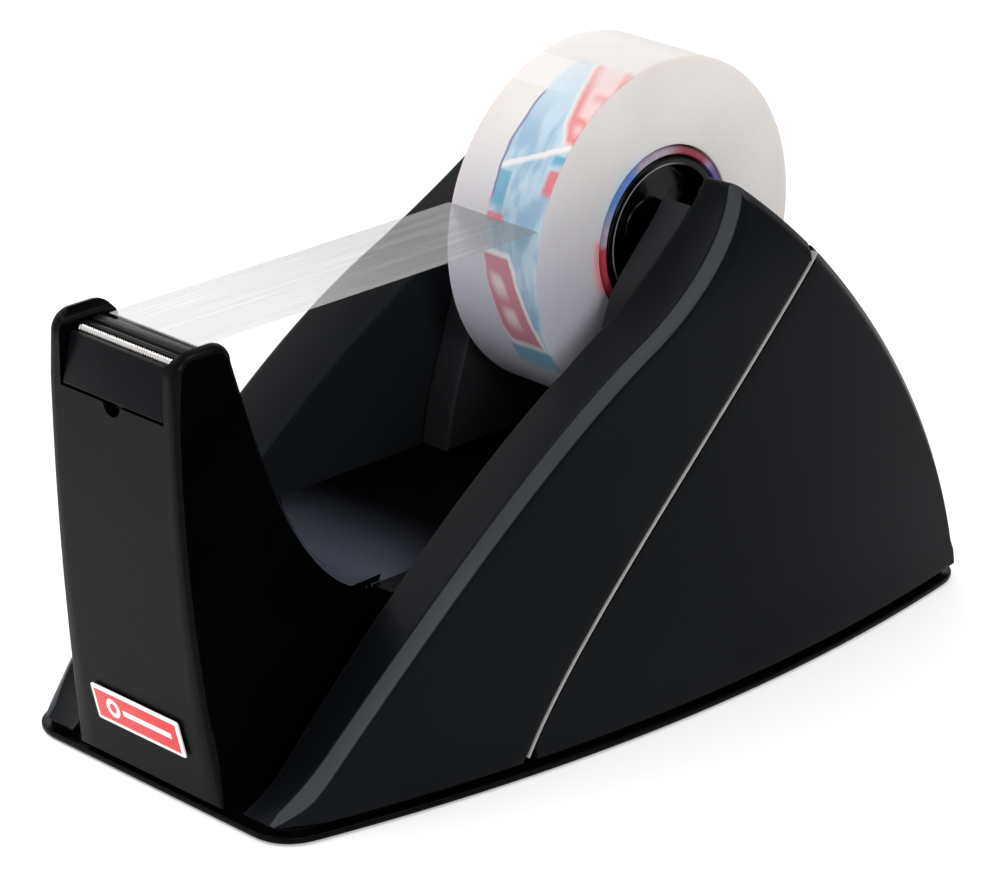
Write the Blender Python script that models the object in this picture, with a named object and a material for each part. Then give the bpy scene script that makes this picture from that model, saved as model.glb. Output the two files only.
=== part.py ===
"""A weighted desk tape dispenser with a roll of matte tape on its hub.

Metres, +Z up. The cutter is toward -Y, the roll's axle lies along X, and the origin is the
middle of the footprint, on the surface that the dispenser stands on. Each sub-part is one object.
"""

import math

import bmesh
import bpy
import numpy as np

MM = 0.001
GAP = 0.3 * MM  # between pieces that touch

# Tape
TAPE_WIDTH = 19.0 * MM
ROLL_DIAMETER = 56.2 * MM
CORE_DIAMETER = 27.8 * MM
CORE_BORE = 25.4 * MM
STRIP_THICKNESS = 0.2 * MM
STRIP_HEIGHT = 7.2 * MM  # underside of the free strip, over the axle

# Hub
HUB_RIM_THICKNESS = 1.4 * MM
HUB_WEB_THICKNESS = 1.6 * MM
HUB_WEB_DEPTH = 4.0 * MM  # from the hub's end to its web
AXLE_DIAMETER = 6.0 * MM
BEARING_CLEARANCE = 0.1 * MM  # on the radius
BEARING_WALL = 1.4 * MM

# Whole body
BODY_LENGTH = 143.8 * MM  # front of the base rim to its back
BODY_HALF_WIDTH = 39.5 * MM  # at the widest place of the base rim
AXLE_HEIGHT = 64.0 * MM
AXLE_Y = 28.4 * MM
BASE_FRONT_Y = -69.4 * MM
BOW_RADIUS = 310.0 * MM  # of the sides, seen from above
BOW_Y = 14.4 * MM  # where the sides are widest
SIDE_DRAFT = math.tan(math.radians(8.0))
TUMBLE_RADIUS = 62.0 * MM  # the sides bend inwards near their top
TUMBLE_START = -5.0 * MM  # from the axle's height
NOSE_RADIUS = 17.0 * MM  # the walls bend inwards near their front
NOSE_LENGTH = 8.7 * MM
CORNER_RADIUS = 6.0 * MM

# Base tray and pad
PAD_THICKNESS = 0.9 * MM
PAD_INSET = 5.4 * MM
BASE_BOTTOM = 0.3 * MM
RIM_TOP = 1.4 * MM
RIM_BEVEL = 0.5 * MM
RIM_LEDGE = 0.6 * MM  # how far the rim stands out past the side walls
GROOVE_DEPTH = 1.6 * MM  # of the shadow line above the rim
GROOVE_TOP = 2.2 * MM
TRAY_TOP = 4.4 * MM
TRAY_INSET = 5.2 * MM

# Side walls
SUPPORT_THICKNESS = 5.9 * MM
ROLL_CLEARANCE = 3.5 * MM  # between the roll's side and an axle support
SHELL = 2.2 * MM
RIM_DROP = 2.0 * MM  # inner edge of the rim below its ridge
CHAMFER_DROP = 1.7 * MM
CHAMFER_WIDTH = 1.5 * MM
WALL_SETBACK = 1.1 * MM  # from the front of the base rim
DIP = (-23.9 * MM, -4.8 * MM)  # from the axle, where the ramp is shallowest
HORN = (-2.1 * MM, 12.0 * MM)  # from the axle, the walls' top
SHOULDER = (1.5 * MM, 10.7 * MM)  # from the axle, where the back curve begins
FLAT_BAND_DROP = 14.0 * MM  # height over which the rim's slope fades out near the axle
RIM_STATIONS = 9  # on each curved stretch of the rim
LEAST_STEP = 0.12 * MM  # between neighbouring stations

# Seam and trim
SEAM_FOOT_Y = -27.6 * MM
SEAM_BEND = (-42.0 * MM, -40.0 * MM)  # from the axle
SEAM_HEAD_SHARE = 0.2065  # along the back curve
SEAM_HEAD_INSET = 0.5824 * MM  # forward of the back curve, and below it
COVER_THICKNESS = 2.2 * MM
TRIM_WIDTH = 0.5 * MM
TRIM_DEPTH = 1.2 * MM
TRIM_GAP = 0.2 * MM

# Centre body
CHEEK_THICKNESS = 2.8 * MM  # beside the cutter's insert
CHEEK_HEIGHT = 1.8 * MM  # over the insert
POST_FLARE = 2.1 * MM  # extra half width at the foot
POST_LEAN = 4.9 * MM  # how far the top stands out past the foot
POST_DEPTH = 11.0 * MM  # at the top
WAIST_DROP = 10.7 * MM  # from the top to where the front face stands furthest out
TROUGH_HEIGHT = 28.0 * MM
TROUGH_FRONT = 30.8 * MM  # behind the front, where the trough widens to the walls
TROUGH_BACK_Y = 38.4 * MM
CRADLE_RADIUS = 18.0 * MM
CRADLE_ANGLE = math.radians(70.0)
BACK_LIP = 0.53  # along the back curve, where the back panel begins

# Cutter
HOLDER_MARGIN = 1.4 * MM  # beside the tape
HOLDER_HEIGHT = 8.6 * MM
HOLDER_DEPTH = 9.2 * MM
HOLDER_LEAN = 1.8 * MM
BLADE_THICKNESS = 0.5 * MM
BLADE_HEIGHT = 5.2 * MM
BLADE_TEETH = 20
TOOTH_DEPTH = 0.35 * MM
NOTCH_RADIUS = 1.8 * MM

# Badge, ballast, fasteners
BADGE_WIDTH = 19.4 * MM
BADGE_HEIGHT = 5.6 * MM
BADGE_SLANT = 1.0 * MM
BADGE_Z = 12.0 * MM
BADGE_THICKNESS = 0.4 * MM
BALLAST_HEIGHT = 18.0 * MM
BALLAST_BEVEL = 1.5 * MM
SCREW_HEAD_RADIUS = 2.8 * MM
SCREW_HEAD_HEIGHT = 1.3 * MM
SCREW_RADIUS = 1.4 * MM
SCREW_LENGTH = 9.0 * MM
BOSS_RADIUS = 3.4 * MM
BOSS_HEIGHT = 14.0 * MM
BOSS_INSET = 4.6 * MM  # boss axis from the wall's inner face
SCREW_YS = (-22.0 * MM, 46.0 * MM)

# Worked out
CHANNEL_HALF = TAPE_WIDTH / 2 + ROLL_CLEARANCE + SUPPORT_THICKNESS + GAP
SUPPORT_INNER = TAPE_WIDTH / 2 + ROLL_CLEARANCE
BASE_BACK_Y = BASE_FRONT_Y + BODY_LENGTH
WALL_BOTTOM = GROOVE_TOP + GAP
WALL_FRONT_Y = BASE_FRONT_Y + WALL_SETBACK
POST_FRONT_Y = BASE_FRONT_Y - POST_LEAN
WALL_BACK_Y = BASE_BACK_Y - RIM_LEDGE
TROUGH_FRONT_Y = BASE_FRONT_Y + TROUGH_FRONT
HOLDER_BACK_Y = POST_FRONT_Y + POST_DEPTH - 1.7 * MM
HOLDER_TOP = AXLE_HEIGHT + STRIP_HEIGHT - GAP
HOLDER_HALF_WIDTH = TAPE_WIDTH / 2 + HOLDER_MARGIN
BLADE_HALF_LENGTH = HOLDER_HALF_WIDTH - GAP
POST_HALF_WIDTH = HOLDER_HALF_WIDTH + GAP + CHEEK_THICKNESS
POST_TOP = HOLDER_TOP + CHEEK_HEIGHT
POST_WAIST = POST_TOP - WAIST_DROP
SIDES = {"left": -1.0, "right": 1.0}


def clear_scene():
    for item in list(bpy.data.objects):
        bpy.data.objects.remove(item, do_unlink=True)


def material(name, colour, roughness, metallic=0.0):
    """A Principled material with one colour, roughness and metallic value."""
    made = bpy.data.materials.get(name)
    if made:
        return made
    made = bpy.data.materials.new(name)
    made.use_nodes = True
    shader = made.node_tree.nodes["Principled BSDF"]
    shader.inputs["Base Color"].default_value = (*colour, 1.0)
    shader.inputs["Roughness"].default_value = roughness
    shader.inputs["Metallic"].default_value = metallic
    return made


def body_plastic(name):
    return material(name, (0.012, 0.013, 0.015), 0.38)


def add_object(name, points, faces, finish, smooth=False):
    """An object of this mesh, with its normals made to point outwards."""
    mesh = bpy.data.meshes.new(name)
    mesh.from_pydata([tuple(point) for point in points], [], [list(face) for face in faces])
    shape = bmesh.new()
    shape.from_mesh(mesh)
    bmesh.ops.recalc_face_normals(shape, faces=shape.faces)
    shape.to_mesh(mesh)
    shape.free()
    if smooth:
        mesh.shade_smooth()
        mesh.set_sharp_from_angle(angle=math.radians(35.0))
    item = bpy.data.objects.new(name, mesh)
    bpy.context.scene.collection.objects.link(item)
    if finish:
        item.data.materials.append(finish)
    return item


def loft(name, rings, finish=None, smooth=False):
    """A closed solid through rings of equal count, each a list of 3-D points, capped at its ends."""
    count = len(rings[0])
    points = [point for ring in rings for point in ring]
    faces = [range(count), range(len(points) - count, len(points))]
    for ring in range(len(rings) - 1):
        for i in range(count):
            j = (i + 1) % count
            low = ring * count
            faces.append((low + i, low + j, low + count + j, low + count + i))
    return add_object(name, points, faces, finish, smooth)


def plate(name, outline, x_low, x_high, finish=None, smooth=False):
    """A (y, z) outline carried along X."""
    rings = [[(x, y, z) for y, z in outline] for x in (x_low, x_high)]
    return loft(name, rings, finish, smooth)


def turned(name, profile, finish=None, segments=64, centre=(0.0, 0.0, 0.0)):
    """A closed profile of (x, radius) turned about a line along X. A radius of 0 is a pole."""
    angles = np.linspace(0.0, 2 * math.pi, segments, endpoint=False)
    points = []
    starts = []
    for x, radius in profile:
        starts.append((len(points), 1 if radius == 0 else segments))
        for angle in angles[: starts[-1][1]]:
            points.append((x, radius * math.cos(angle), radius * math.sin(angle)))
    faces = []
    for this, after in zip(starts, starts[1:] + starts[:1]):
        if this[1] == 1 and after[1] == 1:
            continue
        for i in range(segments):
            j = (i + 1) % segments
            face = [this[0] + i % this[1], this[0] + j % this[1]]
            face += [after[0] + j % after[1], after[0] + i % after[1]]
            faces.append(list(dict.fromkeys(face)))
    item = add_object(name, points, faces, finish, smooth=True)
    item.location = centre
    return item


def box(name, low, high, finish=None):
    rings = [[(x, y, z) for x, y in corners] for z, corners in box_rings(low, high)]
    return loft(name, rings, finish)


def box_rings(low, high):
    corners = ((low[0], low[1]), (high[0], low[1]), (high[0], high[1]), (low[0], high[1]))
    return ((low[2], corners), (high[2], corners))


def upright(name, centre, radius, z_low, z_high, segments=24):
    """A cylinder along Z."""
    angles = np.linspace(0.0, 2 * math.pi, segments, endpoint=False)
    ring = [(centre[0] + radius * math.cos(a), centre[1] + radius * math.sin(a)) for a in angles]
    return loft(name, [[(x, y, z) for x, y in ring] for z in (z_low, z_high)])


def combine(item, other, operation):
    """A Boolean with a helper that isn't a part itself."""
    other.hide_render = True
    other.display_type = "WIRE"
    change = item.modifiers.new(other.name, "BOOLEAN")
    change.operation = operation
    change.solver = "EXACT"
    change.object = other


def bezier(points, count, t_low=0.0, t_high=1.0):
    """Points at even steps along a Bezier curve of any degree, by repeated interpolation."""
    made = []
    for t in np.linspace(t_low, t_high, count):
        row = [np.array(point) for point in points]
        while len(row) > 1:
            row = [a + (b - a) * t for a, b in zip(row, row[1:])]
        made.append(row[0])
    return np.array(made)


def from_axle(offset):
    return (AXLE_Y + offset[0], AXLE_HEIGHT + offset[1])


def side_x(y, z):
    """Half width of the side walls: a shallow bow seen from above, leaning in as it rises."""
    bow = (y - BOW_Y) ** 2 / (2 * BOW_RADIUS)
    tumble = max(z - AXLE_HEIGHT - TUMBLE_START, 0.0) ** 2 / (2 * TUMBLE_RADIUS)
    nose = max(WALL_FRONT_Y + NOSE_LENGTH - y, 0.0) ** 2 / (2 * NOSE_RADIUS)
    lean = SIDE_DRAFT * (z - WALL_BOTTOM)
    return BODY_HALF_WIDTH - RIM_LEDGE - bow - tumble - nose - lean


def footprint(inset):
    """The base outline as (x, y) points: flat front and back, bowed sides, round corners."""
    front, back = BASE_FRONT_Y + inset, BASE_BACK_Y - inset
    radius = max(CORNER_RADIUS - inset, 1.0 * MM)

    def edge(y):
        return BODY_HALF_WIDTH - inset - (y - BOW_Y) ** 2 / (2 * BOW_RADIUS)

    def corner(flat, inward):
        start = (edge(flat) - radius, flat)
        end = (edge(flat + inward * radius), flat + inward * radius)
        return bezier((start, (edge(flat), flat), end), 5)

    side = [(edge(y), y) for y in np.linspace(front + radius, back - radius, 15)[1:-1]]
    right = [*corner(front, 1), *side, *corner(back, -1)[::-1]]
    left = [(-x, y) for x, y in reversed(right)]
    return [(float(x), float(y)) for x, y in [*right, *left]]


def back_curve(count, t_low=0.0):
    start = from_axle(SHOULDER)
    foot = (WALL_BACK_Y, WALL_BOTTOM + 3.0 * MM)
    reach = foot[0] - start[0]
    fall = start[1] - foot[1]
    lean = (start[0] + 0.455 * reach, start[1] - 0.237 * fall)
    drop = (foot[0] - 0.034 * reach, foot[1] + 0.372 * fall)
    return bezier((start, lean, drop, foot), count, t_low)


def rim_profile():
    """The ridge of a side wall as (y, z): a ramp, a dip, a rounded horn and a falling back."""
    foot = (WALL_FRONT_Y, WALL_BOTTOM + 0.3 * MM)
    dip, horn, shoulder = from_axle(DIP), from_axle(HORN), from_axle(SHOULDER)
    run, climb = dip[0] - foot[0], dip[1] - foot[1]
    ramp = ((0.37, 0.49), (0.70, 0.83))
    ramp = [(foot[0] + a * run, foot[1] + b * climb) for a, b in ramp]
    run, climb = horn[0] - dip[0], horn[1] - dip[1]
    rise = ((0.46, 0.30), (0.86, 0.67))
    rise = [(dip[0] + a * run, dip[1] + b * climb) for a, b in rise]
    crown = [(horn[0] + 0.6 * MM, horn[1] + 0.7 * MM), (shoulder[0] - 1.2 * MM, shoulder[1] + 1.1 * MM)]
    stretches = (
        bezier((foot, *ramp, dip), RIM_STATIONS + 3),
        bezier((dip, *rise, horn), RIM_STATIONS),
        bezier((horn, *crown, shoulder), 6),
        back_curve(2 * RIM_STATIONS),
    )
    return np.vstack([stretch[:-1] for stretch in stretches[:-1]] + [stretches[-1]])


def inward_normals(profile):
    """Unit normals on the side of the body's inside, for a profile that runs front to back."""
    along = np.gradient(profile, axis=0)
    normals = np.stack([along[:, 1], -along[:, 0]], axis=1)
    return normals / np.linalg.norm(normals, axis=1)[:, None]


def inner_profile(profile, drop):
    """The profile moved inwards by drop, less near its two low ends, always going back."""
    room = 0.4 * (profile[:, 1] - WALL_BOTTOM)
    moved = profile + inward_normals(profile) * np.minimum(drop, room)[:, None]
    for i in range(1, len(moved)):
        moved[i, 0] = max(moved[i, 0], moved[i - 1, 0] + LEAST_STEP)
    return moved


def wall_solid(name, side, finish=None):
    """One side wall, solid: sections of five corners carried along the rim's profile."""
    ridge = rim_profile()
    below = (AXLE_HEIGHT - ridge[:, 1]) / FLAT_BAND_DROP
    inner = inner_profile(ridge, RIM_DROP * np.clip(below + 0.37, 0.08, 1.0))
    chamfer = inner_profile(ridge, CHAMFER_DROP)
    rings = []
    for (ry, rz), (iy, iz), (cy, cz) in zip(ridge, inner, chamfer):
        width = min(CHAMFER_WIDTH, 2.5 * (rz - WALL_BOTTOM))
        ring = [
            (CHANNEL_HALF, iy, WALL_BOTTOM),
            (side_x(cy, WALL_BOTTOM), cy, WALL_BOTTOM),
            (side_x(cy, cz), cy, cz),
            (side_x(ry, rz) - width, ry, rz),
            (CHANNEL_HALF, iy, iz),
        ]
        rings.append([(side * x, y, z) for x, y, z in ring])
    return loft(name, rings, finish, smooth=True)


def wall_hollow(name, side):
    """The room inside a side wall, open below."""
    ridge = rim_profile()
    inner = inner_profile(ridge, RIM_DROP + 2.2 * SHELL)
    floor = WALL_BOTTOM - 3.0 * MM
    rings = []
    for y, z in inner:
        inside = z > WALL_BOTTOM + 3 * SHELL and y < WALL_BACK_Y - 3 * SHELL
        if not inside or (rings and y <= rings[-1][0][1] + 0.4 * MM):
            continue
        low, high = CHANNEL_HALF + SHELL, side_x(y, z) - SHELL - COVER_THICKNESS
        base = side_x(y, floor) - SHELL - COVER_THICKNESS
        ring = [(low, y, floor), (base, y, floor), (high, y, z), (low, y, z)]
        rings.append([(side * a, b, c) for a, b, c in ring])
    return loft(name, rings)


def seam_points(count, t_low, t_high):
    """The seam, from the foot of the side up to a share of the back curve."""
    foot = (SEAM_FOOT_Y, WALL_BOTTOM)
    head = back_curve(2, SEAM_HEAD_SHARE)[0] - SEAM_HEAD_INSET
    return bezier((foot, from_axle(SEAM_BEND), head), count, t_low, t_high)


def cover_region(name, side, depth, shift):
    """The layer of this depth under the side's surface, behind the seam moved back by shift."""
    floor = WALL_BOTTOM - 2.0 * MM
    seam = seam_points(26, -0.12, 1.5)
    seam = seam + inward_normals(seam) * shift
    outside = 4.0 * MM
    rings = []
    for y, z in seam[seam[:, 1] > floor + 0.5 * MM]:
        low, high = side_x(y, floor), side_x(y, z)
        ring = [(low - depth, floor), (low + outside, floor), (high + outside, z), (high - depth, z)]
        rings.append([(side * a, y, c) for a, c in ring])
    return loft(name, rings)


def side_pieces(word, side):
    """The wall, its cover behind the seam, the trim strip between them and the axle support."""
    finish = body_plastic("satin_black")
    trim_room = TRIM_WIDTH / 2 + TRIM_GAP
    wall = wall_solid(f"{word}_side_wall", side, finish)
    combine(wall, cover_region(f"{word}_cover_seat", side, COVER_THICKNESS + GAP, -trim_room), "DIFFERENCE")
    combine(wall, wall_hollow(f"{word}_wall_room", side), "DIFFERENCE")
    for number, y in enumerate(SCREW_YS):
        place = (side * (CHANNEL_HALF + BOSS_INSET), y)
        boss = upright(f"{word}_boss_{number}", place, BOSS_RADIUS, TRAY_TOP + GAP, TRAY_TOP + BOSS_HEIGHT)
        combine(wall, boss, "UNION")
        pilot = SCREW_RADIUS + GAP
        hole = upright(f"{word}_pilot_{number}", place, pilot, 0.0, TRAY_TOP + SCREW_LENGTH)
        combine(wall, hole, "DIFFERENCE")
    combine(wall, tray_room(f"{word}_tray_room"), "DIFFERENCE")
    cover = wall_solid(f"{word}_side_cover", side, body_plastic("satin_black_cover"))
    combine(cover, cover_region(f"{word}_cover_layer", side, COVER_THICKNESS, trim_room), "INTERSECT")
    trim_strip(word, side)
    axle_support(word, side)


def tray_room(name):
    """The room that the tray's raised middle takes up, with clearance."""
    inset = TRAY_INSET - GAP
    levels = (0.0, TRAY_TOP + GAP)
    return loft(name, [[(x, y, z) for x, y in footprint(inset)] for z in levels])


def trim_strip(word, side):
    """A thin strip along the seam, flush with the side."""
    seam = seam_points(28, 0.02, 0.985)
    normals = inward_normals(seam)
    rings = []
    for (y, z), (ny, nz) in zip(seam, normals):
        ring = []
        for across, depth in ((-1, TRIM_DEPTH), (1, TRIM_DEPTH), (1, 0.0), (-1, 0.0)):
            py = y + across * ny * TRIM_WIDTH / 2
            pz = z + across * nz * TRIM_WIDTH / 2
            ring.append((side * (side_x(py, pz) - depth), py, pz))
        rings.append(ring)
    loft(f"{word}_trim_strip", rings, material("trim_grey", (0.45, 0.45, 0.46), 0.4))


def axle_support(word, side):
    """A plate inside the wall, standing on the trough, with an open slot for the axle."""
    slot = AXLE_DIAMETER / 2 + GAP
    bottom = TROUGH_HEIGHT + GAP - AXLE_HEIGHT
    top = 8.2 * MM
    turn = [(slot * math.cos(a), slot * math.sin(a)) for a in np.linspace(0, -math.pi, 13)]
    outline = [
        (-25.0 * MM, bottom),
        (10.0 * MM, bottom),
        (14.0 * MM, -20.0 * MM),
        (12.0 * MM, -4.0 * MM),
        (6.5 * MM, 6.0 * MM),
        (slot + 1.0 * MM, top),
        *turn,
        (-slot - 1.0 * MM, top),
        (-6.1 * MM, 5.8 * MM),
        (-16.2 * MM, -4.6 * MM),
        (-19.1 * MM, -15.1 * MM),
        (-23.2 * MM, -26.9 * MM),
    ]
    ends = sorted((side * SUPPORT_INNER, side * (CHANNEL_HALF - GAP)))
    placed = [from_axle(point) for point in outline]
    plate(f"{word}_axle_support", placed, *ends, body_plastic("satin_black_inner"))


def base_tray():
    """The tray: a bevelled rim, a recess for the pad below and a raised middle above."""
    recess = PAD_THICKNESS + GAP
    steps = (
        (PAD_INSET - GAP, recess),
        (PAD_INSET - GAP, BASE_BOTTOM),
        (RIM_BEVEL, BASE_BOTTOM),
        (0.0, BASE_BOTTOM + RIM_BEVEL),
        (0.0, RIM_TOP - 0.15 * MM),
        (0.15 * MM, RIM_TOP),
        (GROOVE_DEPTH, RIM_TOP),
        (GROOVE_DEPTH, GROOVE_TOP),
        (TRAY_INSET, GROOVE_TOP),
        (TRAY_INSET, TRAY_TOP),
    )
    rings = [[(x, y, z) for x, y in footprint(inset)] for inset, z in steps]
    tray = loft("base_tray", rings, body_plastic("satin_black_base"), smooth=True)
    for name, place in screw_places():
        bore = upright(f"{name}_bore", place, SCREW_RADIUS + GAP, 0.0, TRAY_TOP + MM)
        combine(tray, bore, "DIFFERENCE")
        sink_top = recess + SCREW_HEAD_HEIGHT + 2 * GAP
        sink = upright(f"{name}_sink", place, SCREW_HEAD_RADIUS + GAP, 0.0, sink_top)
        combine(tray, sink, "DIFFERENCE")


def anti_slip_pad():
    rings = [[(x, y, z) for x, y in footprint(PAD_INSET)] for z in (0.0, PAD_THICKNESS)]
    loft("anti_slip_pad", rings, material("foam_rubber", (0.03, 0.03, 0.032), 0.95))


def screw_places():
    x = CHANNEL_HALF + BOSS_INSET
    number = 0
    for side in SIDES.values():
        for y in SCREW_YS:
            number += 1
            yield f"base_screw_{number}", (side * x, y)


def base_screws():
    """Countersunk from below: a head with a hexagon recess, and a plain shank."""
    steel = material("zinc_steel", (0.55, 0.56, 0.58), 0.35, 1.0)
    head_low = PAD_THICKNESS + 2 * GAP
    head_top = head_low + SCREW_HEAD_HEIGHT
    levels = (
        (SCREW_RADIUS * 0.7, head_low + 0.8 * MM),
        (SCREW_RADIUS * 0.7, head_low),
        (SCREW_HEAD_RADIUS, head_low),
        (SCREW_HEAD_RADIUS, head_top),
        (SCREW_RADIUS, head_top),
        (SCREW_RADIUS, head_top + SCREW_LENGTH - 1.0 * MM),
        (SCREW_RADIUS * 0.5, head_top + SCREW_LENGTH),
    )
    angles = np.linspace(0.0, 2 * math.pi, 24, endpoint=False)
    for name, place in screw_places():
        rings = [[(r * math.cos(a), r * math.sin(a), z) for a in angles] for r, z in levels]
        screw = loft(name, rings, steel, smooth=True)
        screw.location = (*place, 0.0)


def post_front(z):
    """The front face leans out as it rises, by a parabola with its crest at POST_WAIST."""
    share = (POST_WAIST - z) / (POST_WAIST - WALL_BOTTOM)
    return POST_FRONT_Y + POST_LEAN * share**2


def post_half(z):
    share = max(POST_WAIST - z, 0.0) / (POST_WAIST - WALL_BOTTOM)
    return POST_HALF_WIDTH + POST_FLARE * share**2


def post_back_curve():
    """The back of the post as (y, z), from the floor of the trough up to its top."""
    top = (POST_FRONT_Y + POST_DEPTH, POST_TOP - 3.3 * MM)
    floor = (TROUGH_FRONT_Y + 2.0 * MM, TROUGH_HEIGHT)
    fall = top[1] - floor[1]
    reach = floor[0] - top[0]
    lean = (top[0] + 0.233 * reach, top[1] - 0.565 * fall)
    sweep = (top[0] + 0.571 * reach, floor[1])
    return bezier((floor, sweep, lean, top), 14)


def post_levels(wall):
    """(z, front y, back y, half width) up the post, moved in by this wall thickness."""
    back = post_back_curve()
    back = back - inward_normals(back) * wall
    foot = (back[0][0], WALL_BOTTOM)
    return [(z, post_front(z) + wall, y, post_half(z) - wall) for y, z in [foot, *back]]


def section(z, front, back, half):
    """A rectangle with its corners cut, as a ring at height z."""
    cut = min(1.0 * MM, half / 3)
    right = [(half - cut, front), (half, front + cut), (half, back - cut), (half - cut, back)]
    left = [(-x, y) for x, y in reversed(right)]
    return [(x, y, z) for x, y in [*right, *left]]


def post_solid(name, finish):
    """The post with its two cheeks still joined, and a rounded top."""
    levels = post_levels(0.0)
    z_top, front, back, half = levels[-1]
    for angle in np.radians((25.0, 50.0, 72.0)):
        inset = 3.5 * MM * (1 - math.cos(angle))
        rise = (POST_TOP - z_top) * math.sin(angle)
        levels.append((z_top + rise, front + inset, back - inset, half))
    return loft(name, [section(*level) for level in levels], finish, smooth=True)


def trough_outline(wall):
    """(y, z) of the trough, its cradle and the back panel, moved in by this wall thickness."""
    front = TROUGH_FRONT_Y
    centre = (TROUGH_BACK_Y, TROUGH_HEIGHT + CRADLE_RADIUS)
    radius = CRADLE_RADIUS + wall
    angles = np.linspace(0.0, CRADLE_ANGLE, 9)
    cradle = [(centre[0] + radius * math.sin(a), centre[1] - radius * math.cos(a)) for a in angles]
    back = inner_profile(back_curve(12, BACK_LIP), RIM_DROP + wall)
    if wall:
        back = back[2:]
    low = WALL_BOTTOM - (3.0 * MM if wall else 0.0)
    return [(front + wall, low), (front + wall, TROUGH_HEIGHT - wall), *cradle, *back, (back[-1][0], low)]


def centre_body():
    """Post, trough and back panel: one hollow moulding, open below, between the side walls."""
    half = CHANNEL_HALF - GAP
    body = post_solid("centre_body", body_plastic("satin_black_centre"))
    trough = plate("trough_solid", trough_outline(0.0), -half, half)
    combine(body, trough, "UNION")
    room = half - SHELL
    combine(body, plate("trough_room", trough_outline(SHELL), -room, room), "DIFFERENCE")
    seat_floor = HOLDER_TOP - HOLDER_HEIGHT - GAP
    levels = [level for level in post_levels(SHELL) if level[0] < seat_floor - 2 * SHELL]
    levels[0] = (WALL_BOTTOM - 3.0 * MM, *levels[0][1:])
    levels.append((seat_floor - SHELL, *levels[-1][1:]))
    combine(body, loft("post_room", [section(*level) for level in levels]), "DIFFERENCE")
    seat = HOLDER_HALF_WIDTH + GAP
    low = (-seat, POST_FRONT_Y - 10 * MM, seat_floor)
    high = (seat, HOLDER_BACK_Y + GAP, POST_TOP + 5 * MM)
    combine(body, box("holder_seat", low, high), "DIFFERENCE")
    low = (-seat, HOLDER_BACK_Y - MM, HOLDER_TOP - 1.3 * MM)
    high = (seat, POST_FRONT_Y + POST_DEPTH + 5 * MM, POST_TOP + 5 * MM)
    combine(body, box("lip_cut", low, high), "DIFFERENCE")
    notch_y = post_front(seat_floor)
    notch = turned_upright("finger_notch", (0.0, notch_y), NOTCH_RADIUS, seat_floor)
    combine(body, notch, "DIFFERENCE")
    combine(body, tray_room("centre_tray_room"), "DIFFERENCE")


def turned_upright(name, centre, radius, z):
    """A flat disc on edge, whose lower half bites into the front of the post."""
    depth = 1.2 * MM
    angles = np.linspace(0.0, 2 * math.pi, 24, endpoint=False)
    ring = [(centre[0] + radius * math.cos(a), z + radius * math.sin(a)) for a in angles]
    return loft(name, [[(x, y, h) for x, h in ring] for y in (centre[1] - depth, centre[1] + depth)])


def cutter_holder():
    """The insert: a leaning front, a slot for the blade and two ridges along its top."""
    back = HOLDER_BACK_Y
    low = HOLDER_TOP - HOLDER_HEIGHT
    front = back - HOLDER_DEPTH
    lip = HOLDER_TOP - 1.1 * MM
    slot_front = blade_front() - GAP
    slot_back = slot_front + BLADE_THICKNESS + 2 * GAP
    slot_floor = HOLDER_TOP - 0.3 * MM - BLADE_HEIGHT - GAP
    ridge = 0.9 * MM
    outline = [
        (front, low),
        (back, low),
        (back, HOLDER_TOP - 0.8 * MM),
        (back - 0.8 * MM, HOLDER_TOP),
        (slot_back + 2.3 * ridge, HOLDER_TOP - 0.2 * MM),
        (slot_back + 1.7 * ridge, HOLDER_TOP - 0.7 * MM),
        (slot_back + ridge, HOLDER_TOP - 0.4 * MM),
        (slot_back, HOLDER_TOP - 0.8 * MM),
        (slot_back, slot_floor),
        (slot_front, slot_floor),
        (slot_front, lip),
        (front + HOLDER_LEAN, lip),
    ]
    half = HOLDER_HALF_WIDTH
    plate("cutter_holder", outline, -half, half, material("insert_black", (0.02, 0.02, 0.023), 0.3))


def blade_front():
    return HOLDER_BACK_Y - HOLDER_DEPTH + HOLDER_LEAN + 0.8 * MM + GAP


def cutter_blade():
    """A steel strip with a saw edge: the teeth are a zigzag along its top."""
    top = HOLDER_TOP - 0.3 * MM
    bottom = top - BLADE_HEIGHT
    xs = np.linspace(-BLADE_HALF_LENGTH, BLADE_HALF_LENGTH, 2 * BLADE_TEETH + 1)
    edge = [(x, top - (TOOTH_DEPTH if i % 2 == 0 else 0.0)) for i, x in enumerate(xs)]
    ring = [(-BLADE_HALF_LENGTH, bottom), *edge, (BLADE_HALF_LENGTH, bottom)]
    ys = (blade_front(), blade_front() + BLADE_THICKNESS)
    steel = material("blade_steel", (0.78, 0.78, 0.79), 0.2, 1.0)
    loft("cutter_blade", [[(x, y, z) for x, z in ring] for y in ys], steel)


def front_badge():
    """A slanted plate that lies a gap in front of the leaning post."""
    rings = []
    low, high = BADGE_Z - BADGE_HEIGHT / 2, BADGE_Z + BADGE_HEIGHT / 2
    for depth in (GAP + BADGE_THICKNESS, GAP):
        ring = []
        for across, z in ((-1, low), (1, low), (1, high), (-1, high)):
            slant = BADGE_SLANT / 2 if z == low else -BADGE_SLANT / 2
            ring.append((across * BADGE_WIDTH / 2 + slant, post_front(z) - depth, z))
        rings.append(ring)
    loft("front_badge", rings, material("badge", (0.75, 0.05, 0.04), 0.35))


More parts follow.
